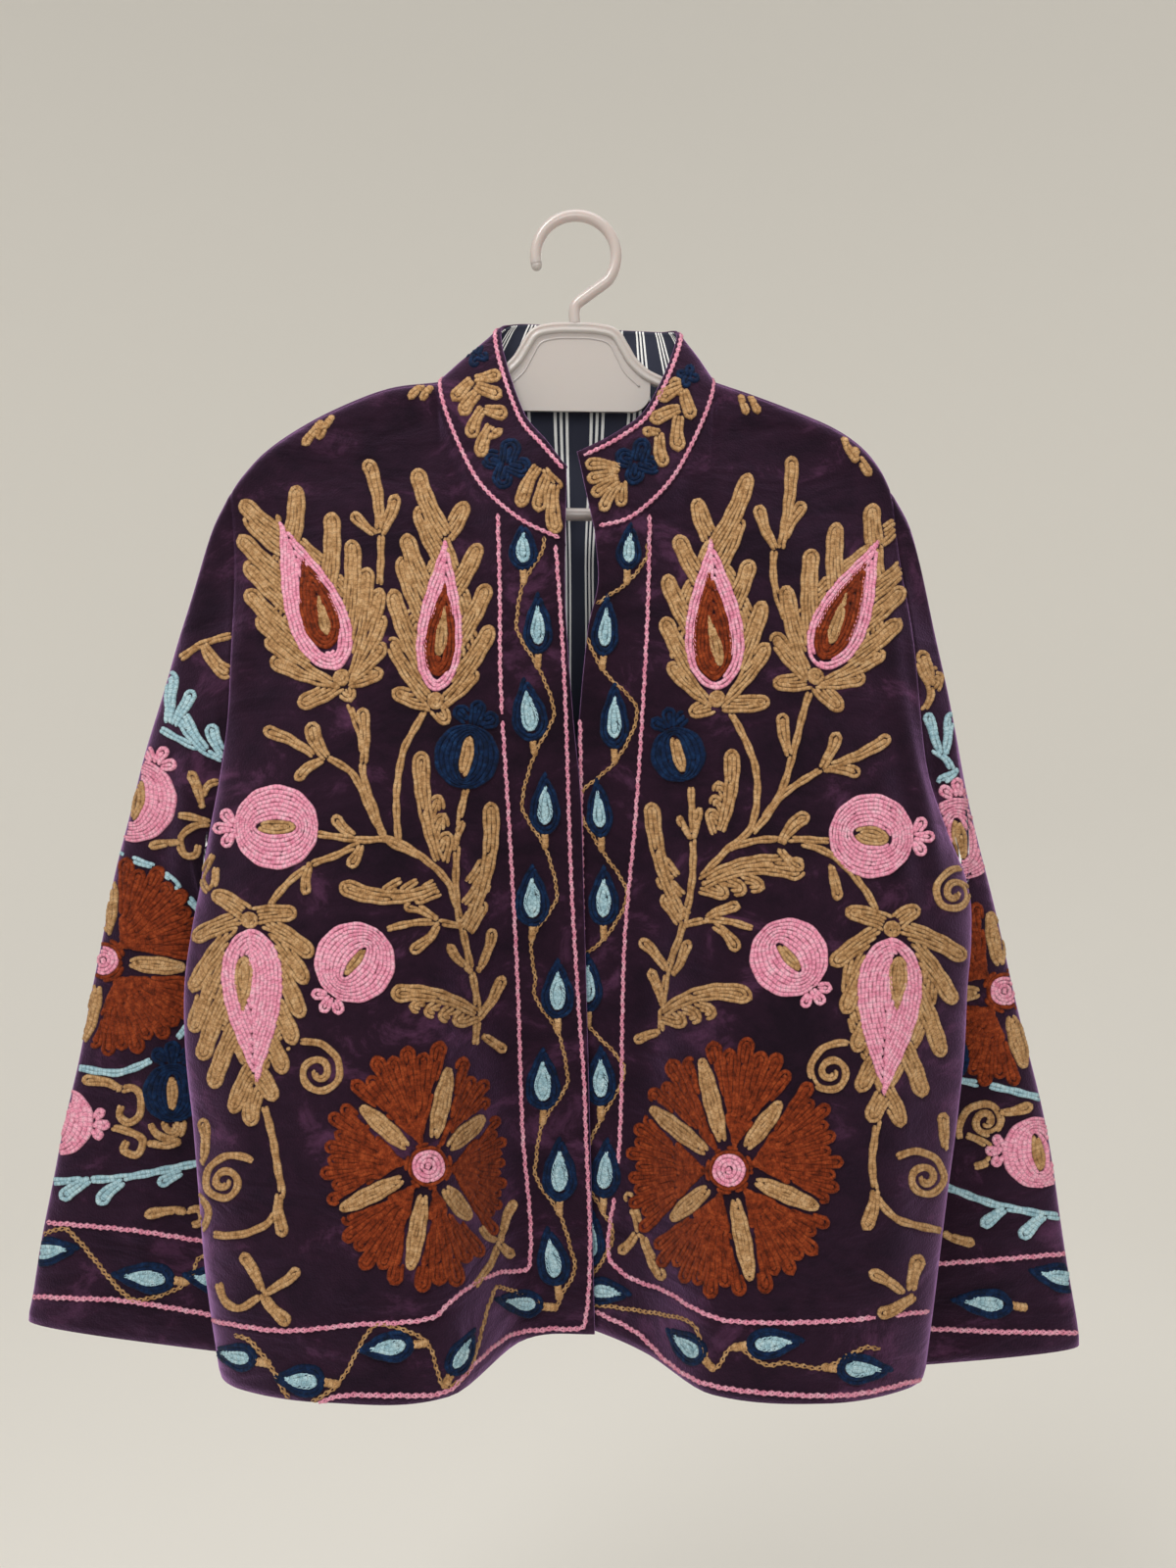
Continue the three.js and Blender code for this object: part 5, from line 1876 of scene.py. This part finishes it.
def border_vine(work, name):
    """The thin vine that winds past the buds on alternate sides and meets each one's stalk."""
    buds = BUDS.get(name)
    if buds is None or work.view == "behind" or len(buds["x"]) < FEWEST_BUDS:
        return
    middles = stacked(buds["x"], buds["y"])
    travels = unit(np.gradient(middles, axis=0))
    places = []
    for i, (middle, travel) in enumerate(zip(middles, travels)):
        turn, length, width = math.radians(buds["turn"][i]), buds["length"][i], buds["width"][i]
        up = np.array([math.sin(turn), -math.cos(turn)])
        ahead = np.sign(np.dot(up, travel)) or 1
        aside = np.array([-travel[1], travel[0]]) * (1 if i % 2 else -1) * (width / 2 + VINE_GAP)
        span = up * ahead * length * VINE_SPAN
        beside = [middle + aside - span, middle + aside + span]
        foot = [middle - up * (length / 2 + VINE_FOOT)]
        places += foot + beside if ahead > 0 else beside + foot
    work.row("gold_line", smooth_path(np.array(places), PATH_SPACING), LINE_WIDTH, UNDER_LIFT, True)


class Lift:
    """Carries places in the photograph on to a cloth piece's outer face."""

    def __init__(self, panel, scale):
        self.scale = scale
        quads = panel_quads(panel)
        self.triangles = np.concatenate([quads[:, [0, 1, 2]], quads[:, [0, 2, 3]]])
        self.points = panel.points.reshape(-1, 3)
        self.normals = panel.normals.reshape(-1, 3)
        self.tree = BVHTree.FromPolygons(self.points.tolist(), self.triangles.tolist(), all_triangles=True)

    def rays(self, places, view):
        x = (places[:, 0] - PHOTO_WIDTH / 2) / FOCAL_PIXELS
        z = (PHOTO_HEIGHT / 2 - places[:, 1]) / FOCAL_PIXELS
        if view == "photo":
            directions = unit(stacked(x, np.ones(len(x)), z))
            return np.broadcast_to(CAMERA_MM, directions.shape), directions
        reach = self.scale * FOCAL_PIXELS
        origins = stacked(CAMERA_MM[0] + x * reach, np.full(len(x), BEHIND_Y), CAMERA_MM[2] + z * reach)
        return origins, np.broadcast_to([0.0, -1.0, 0.0], origins.shape)

    def carry(self, places, view):
        """Where each place lands, the cloth's normal there, and whether it lands on the piece at all."""
        origins, directions = self.rays(places, view)
        landed = np.zeros(len(places), bool)
        spots = np.zeros((len(places), 3))
        faces = np.zeros(len(places), int)
        for i, (origin, direction) in enumerate(zip(origins.tolist(), directions.tolist())):
            spot, _, face, _ = self.tree.ray_cast(origin, direction)
            if spot is not None:
                landed[i] = True
                spots[i] = spot
                faces[i] = face
        corners = self.triangles[faces]
        a, b, c = (self.points[corners[:, i]] for i in range(3))
        whole = np.cross(b - a, c - a)
        area = np.maximum((whole**2).sum(axis=-1), 1e-12)
        first = (np.cross(b - spots, c - spots) * whole).sum(axis=-1) / area
        second = (np.cross(c - spots, a - spots) * whole).sum(axis=-1) / area
        shares = stacked(first, second, 1 - first - second)
        normals = unit((self.normals[corners] * shares[..., None]).sum(axis=1))
        facing = (normals * directions).sum(axis=-1) < GRAZING
        return spots, normals, directions, landed & facing


def stitch_row(spots, normals, directions, width, kind, lift=0):
    """The points of one row of stitches and their UVs, or nothing where the row is too short."""
    lengths = lengths_along(spots)
    stitch, middle_width, neck_width = LINKS[kind]
    if lengths[-1] < stitch / 2:
        return None
    sections = max(int(round(lengths[-1] / (stitch / 2))), 2)
    at = np.linspace(0, lengths[-1], sections + 1)
    width = np.interp(at, lengths, width)
    spots, normals, directions = (
        stacked(*(np.interp(at, lengths, part) for part in values.T))
        for values in (spots, normals, directions)
    )
    along = unit(np.gradient(spots, axis=0))
    normals = unit(normals)
    aside = unit(np.cross(normals, along))
    shown = aside - directions * (aside * directions).sum(axis=-1, keepdims=True)
    shown_width = np.maximum(np.linalg.norm(shown, axis=-1), SIDE_LIMIT)
    away = np.linalg.norm(spots - CAMERA_MM, axis=-1) / FOCAL_PIXELS
    if kind == "plain":
        away = MM_PER_PIXEL
    half = width / 2 * away / shown_width
    profile = PROFILES[kind]
    middles = np.arange(sections + 1) % 2 == 1
    ends = np.ones(sections + 1)
    ends[[0, -1]] = 0
    spread = half * np.where(middles, middle_width, neck_width) * lerp(END_WIDTH, 1, ends)
    heights = np.where(middles[:, None], profile["middle"], profile["neck"]) * THREAD_RISE
    heights = THREAD_LIFT + lift + heights * lerp(END_HEIGHT, 1, ends)[:, None]
    lead = profile["lead"] * stitch / 2
    points = (
        spots[:, None]
        + aside[:, None] * (spread[:, None] * profile["across"])[..., None]
        + normals[:, None] * heights[..., None]
        + along[:, None] * (lead * ends[:, None])[..., None]
    )
    return points, stacked(*np.meshgrid((profile["across"] + 1) / 2, np.arange(sections + 1) / 2))


def panel_row(panel, share):
    """A single row right across a panel, at a share of the way from its first side to the opposite one."""
    at = share * (panel.points.shape[1] - 1)
    row = int(at)
    spots = lerp(panel.points[2:-2, row], panel.points[2:-2, row + 1], at - row)
    normals = lerp(panel.normals[2:-2, row], panel.normals[2:-2, row + 1], at - row)
    return stitch_row(spots, normals, -normals, np.full(len(spots), LINE_WIDTH), "open")


def thread_object(name, rows, material):
    """One mesh from many rows of stitches."""
    all_points, all_uvs, all_faces = [], [], []
    start = 0
    for points, uvs in rows:
        deep, wide = points.shape[:2]
        all_faces.append(grid_quads(start + np.arange(deep * wide).reshape(deep, wide)))
        all_points.append(points.reshape(-1, 3))
        all_uvs.append(uvs.reshape(-1, 2))
        start += deep * wide
    faces = np.concatenate(all_faces).tolist()
    return new_object(name, np.concatenate(all_points), faces, [material], uvs=np.concatenate(all_uvs))


def embroider(work, lift, kind):
    """The stitched rows of a face, by colour."""
    made = []
    for colour, rows in work.rows.items():
        spots, normals, directions, landed = lift.carry(np.concatenate(rows)[:, :2], work.view)
        stitched = []
        first = 0
        for path in rows:
            part = slice(first, first + len(path))
            first += len(path)
            for start, end in runs(landed[part]):
                if end - start < 2:
                    continue
                piece = slice(part.start + start, part.start + end)
                shape = "open" if colour.endswith("_line") and kind == "full" else kind
                width, rise = path[start:end, 2], path[start, 3]
                row = stitch_row(spots[piece], normals[piece], directions[piece], width, shape, rise)
                if row is not None:
                    stitched.append(row)
        if stitched:
            made.append((colour, stitched))
    return made


# Colours of the threads: a dark, a middle and a light tone
THREADS = {
    "gold": ((150, 108, 66), (196, 152, 104), (222, 184, 138)),
    "pink": ((228, 132, 162), (253, 170, 196), (255, 204, 220)),
    "rust": ((82, 28, 8), (134, 52, 20), (174, 80, 38)),
    "navy": ((4, 18, 40), (8, 32, 68), (22, 56, 98)),
    "light_blue": ((136, 176, 192), (176, 212, 224), (208, 234, 240)),
}


# Painted shade at the edges of each row, where the strands part, and where one link enters the next; and
# darker streaks between the fibres
LINK_SLANT = 0.9
EDGE_PAINTED_SHADE = 0.42
JOINT_PAINTED_SHADE = 0.66
FIBRE_SHADE = 0.5


def thread_material(name, tones):
    """Soft two-ply thread with fine fibres, with painted shade between the strands and where one link enters
    the next.
    """
    dark, middle, light = (linear(*tone) for tone in tones)
    material, tree, shader = new_material("thread_" + name, middle, 0.8)
    tone = noise(tree, 260, 4, roughness=0.62)
    colour = ramp(tree, tone, (0.3, dark), (0.5, middle), (0.72, light))
    place, across, down = cloth_place(tree)
    aside = math_node(tree, "ABSOLUTE", math_node(tree, "SUBTRACT", across, 0.5))
    slanted = math_node(tree, "SUBTRACT", down, math_node(tree, "MULTIPLY", aside, LINK_SLANT))
    along = math_node(tree, "ABSOLUTE", math_node(tree, "SUBTRACT", math_node(tree, "FRACT", slanted), 0.5))
    # Painted shade: darker towards each row's edges and where one link enters the next
    edges = ramp(tree, aside, (0.24, grey(1)), (0.5, grey(EDGE_PAINTED_SHADE)))
    painted_joint_shade = ramp(tree, along, (0.3, grey(1)), (0.5, grey(JOINT_PAINTED_SHADE)))
    fibres = add_node(tree, "ShaderNodeTexNoise", Scale=1.0, Detail=2.0)
    stretch = add_node(tree, "ShaderNodeMapping", Scale=(9, 5, 1))
    stretch.inputs["Rotation"].default_value = (0, 0, 0.5)
    tree.links.new(place, stretch.inputs["Vector"])
    tree.links.new(stretch.outputs["Vector"], fibres.inputs["Vector"])
    fuzz = ramp(tree, fibres.outputs["Fac"], (0.34, grey(FIBRE_SHADE)), (0.58, grey(1)))
    for shade in (edges, painted_joint_shade, fuzz):
        colour = multiply(tree, colour, shade)
    tree.links.new(colour, shader.inputs["Base Color"])
    set_inputs(shader, Specular_IOR_Level=0.12, Sheen_Weight=0.06)
    bump(tree, shader, fibres.outputs["Fac"], 0.7, 0.0005)
    return material


threads = {name: thread_material(name, tones) for name, tones in THREADS.items()}


def collar_motifs(work, view):
    work.sprays(rows_in(COLLAR_GOLD[view]), SPRAY_BEND["collar"])
    for row in rows_in(COLLAR_FLOWERS[view]):
        work.small_flower(*row)


def back_motifs(work):
    """The back repeats what both fronts carry, with a column of its own down the middle."""
    work_motifs(work, "back")
    work.flower(**BACK_FLOWER)
    for name in ("front_left", "front_right"):
        work_motifs(work, name, borders=False)


# The faces that are worked: the side they are seen from, the kind of stitch and the pieces
FACES = (
    ("photo", "full", ("front_left", "front_right", "sleeve_left", "sleeve_right", "collar")),
    ("behind", "plain", ("collar", "back", "sleeve_left", "sleeve_right")),
)


def work_face(name, view):
    work = Needlework(view)
    if name == "collar":
        collar_motifs(work, view)
    elif name == "back":
        back_motifs(work)
    else:
        if view == "behind":
            work_motifs(work, name + "_behind")
        work_motifs(work, name)
    return work


def stitched_rows():
    """The rows of stitches of all pieces, grouped by the cloth piece and the colour."""
    made = {}
    for view, kind, names in FACES:
        for name in names:
            if name == "collar" and view == "photo":
                made[name, "pink"] = [panel_row(panels[name], rise) for rise in COLLAR_LINES]
            lift = Lift(panels[name], BEHIND_SCALE.get(name, MM_PER_PIXEL))
            for colour, rows in embroider(work_face(name, view), lift, kind):
                made.setdefault((name, colour.replace("_line", "")), []).extend(rows)
    return made


def make_embroidery():
    made = {}
    for (name, colour), rows in stitched_rows().items():
        obj = thread_object(f"stitches_{name}_{colour}", rows, threads[colour])
        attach(obj, "root")
        made[name, colour] = obj
    return made


stitches = make_embroidery()


# Studio
STUDIO_FLOOR_Z = -1.25
STUDIO_RADIUS = 3.4
STUDIO_HEIGHT = 7.0
STUDIO_CURVE = 1.5
STUDIO_RINGS = (0, 0.6, 1.2)
STUDIO_BEND_STEPS = 16
STUDIO_TURNS = 64
LIGHT_AIM = (0, 0, -0.36)
PURE = (1, 1, 1)
WARM = (1.0, 0.99, 0.975)
FAINTLY_WARM = (1.0, 0.99, 0.98)
COOL = (0.98, 0.99, 1.0)


def make_studio():
    """A pale bowl: a floor that curves up into a wall all round, so that no view shows an edge."""
    bend = np.linspace(0, np.pi / 2, STUDIO_BEND_STEPS)
    bent = STUDIO_RADIUS - STUDIO_CURVE + STUDIO_CURVE * np.sin(bend)
    radius = (*STUDIO_RINGS, *bent, STUDIO_RADIUS)
    height = (*np.zeros(len(STUDIO_RINGS)), *(STUDIO_CURVE * (1 - np.cos(bend))), STUDIO_HEIGHT)
    turns = np.linspace(0, 2 * np.pi, STUDIO_TURNS, endpoint=False)
    vertices = [
        [r * math.cos(t) / MM, r * math.sin(t) / MM, (STUDIO_FLOOR_Z + h) / MM]
        for r, h in zip(radius, height)
        for t in turns
    ]
    index = np.arange(len(vertices)).reshape(-1, len(turns))
    pale, _, shader = new_material("studio", linear(200, 198, 193), 0.9)
    set_inputs(shader, Emission_Color=linear(226, 221, 212), Emission_Strength=0.25)
    bowl = new_object("studio_bowl", vertices, grid_quads(index, columns_close=True).tolist(), [pale])


def soft_light(name, place, size, power, colour=PURE):
    light = bpy.data.lights.new(name, "AREA")
    light.shape = "DISK"
    light.size = size
    light.energy = power
    light.color = colour
    obj = add_object(name, light)
    obj.location = place
    aim = Vector(LIGHT_AIM) - Vector(place)
    obj.rotation_mode = "QUATERNION"
    obj.rotation_quaternion = aim.to_track_quat("-Z", "Y")


make_studio()
soft_light("key", (-0.8, -1.2, 1.5), 0.7, 25, WARM)
soft_light("above", (0.1, -0.3, 1.5), 1.4, 11, FAINTLY_WARM)
soft_light("fill", (0.15, -1.9, -0.2), 1.0, 10.5, COOL)
soft_light("behind", (0.4, 2.2, 1.0), 1.6, 8)

world = bpy.data.worlds.new("studio")
world.use_nodes = True
set_inputs(world.node_tree.nodes["Background"], Color=(*WARM, 1), Strength=0.45)
bpy.context.scene.world = world
bpy.context.scene.view_settings.view_transform = "Standard"


def make_camera():
    camera = bpy.data.cameras.new("camera")
    camera.lens = SENSOR * FOCAL_PIXELS / PHOTO_HEIGHT
    camera.sensor_width = SENSOR
    camera.clip_start = 0.01
    obj = add_object("camera", camera)
    obj.location = CAMERA_MM * MM
    obj.rotation_euler = (math.pi / 2, 0, 0)
    bpy.context.scene.camera = obj


make_camera()
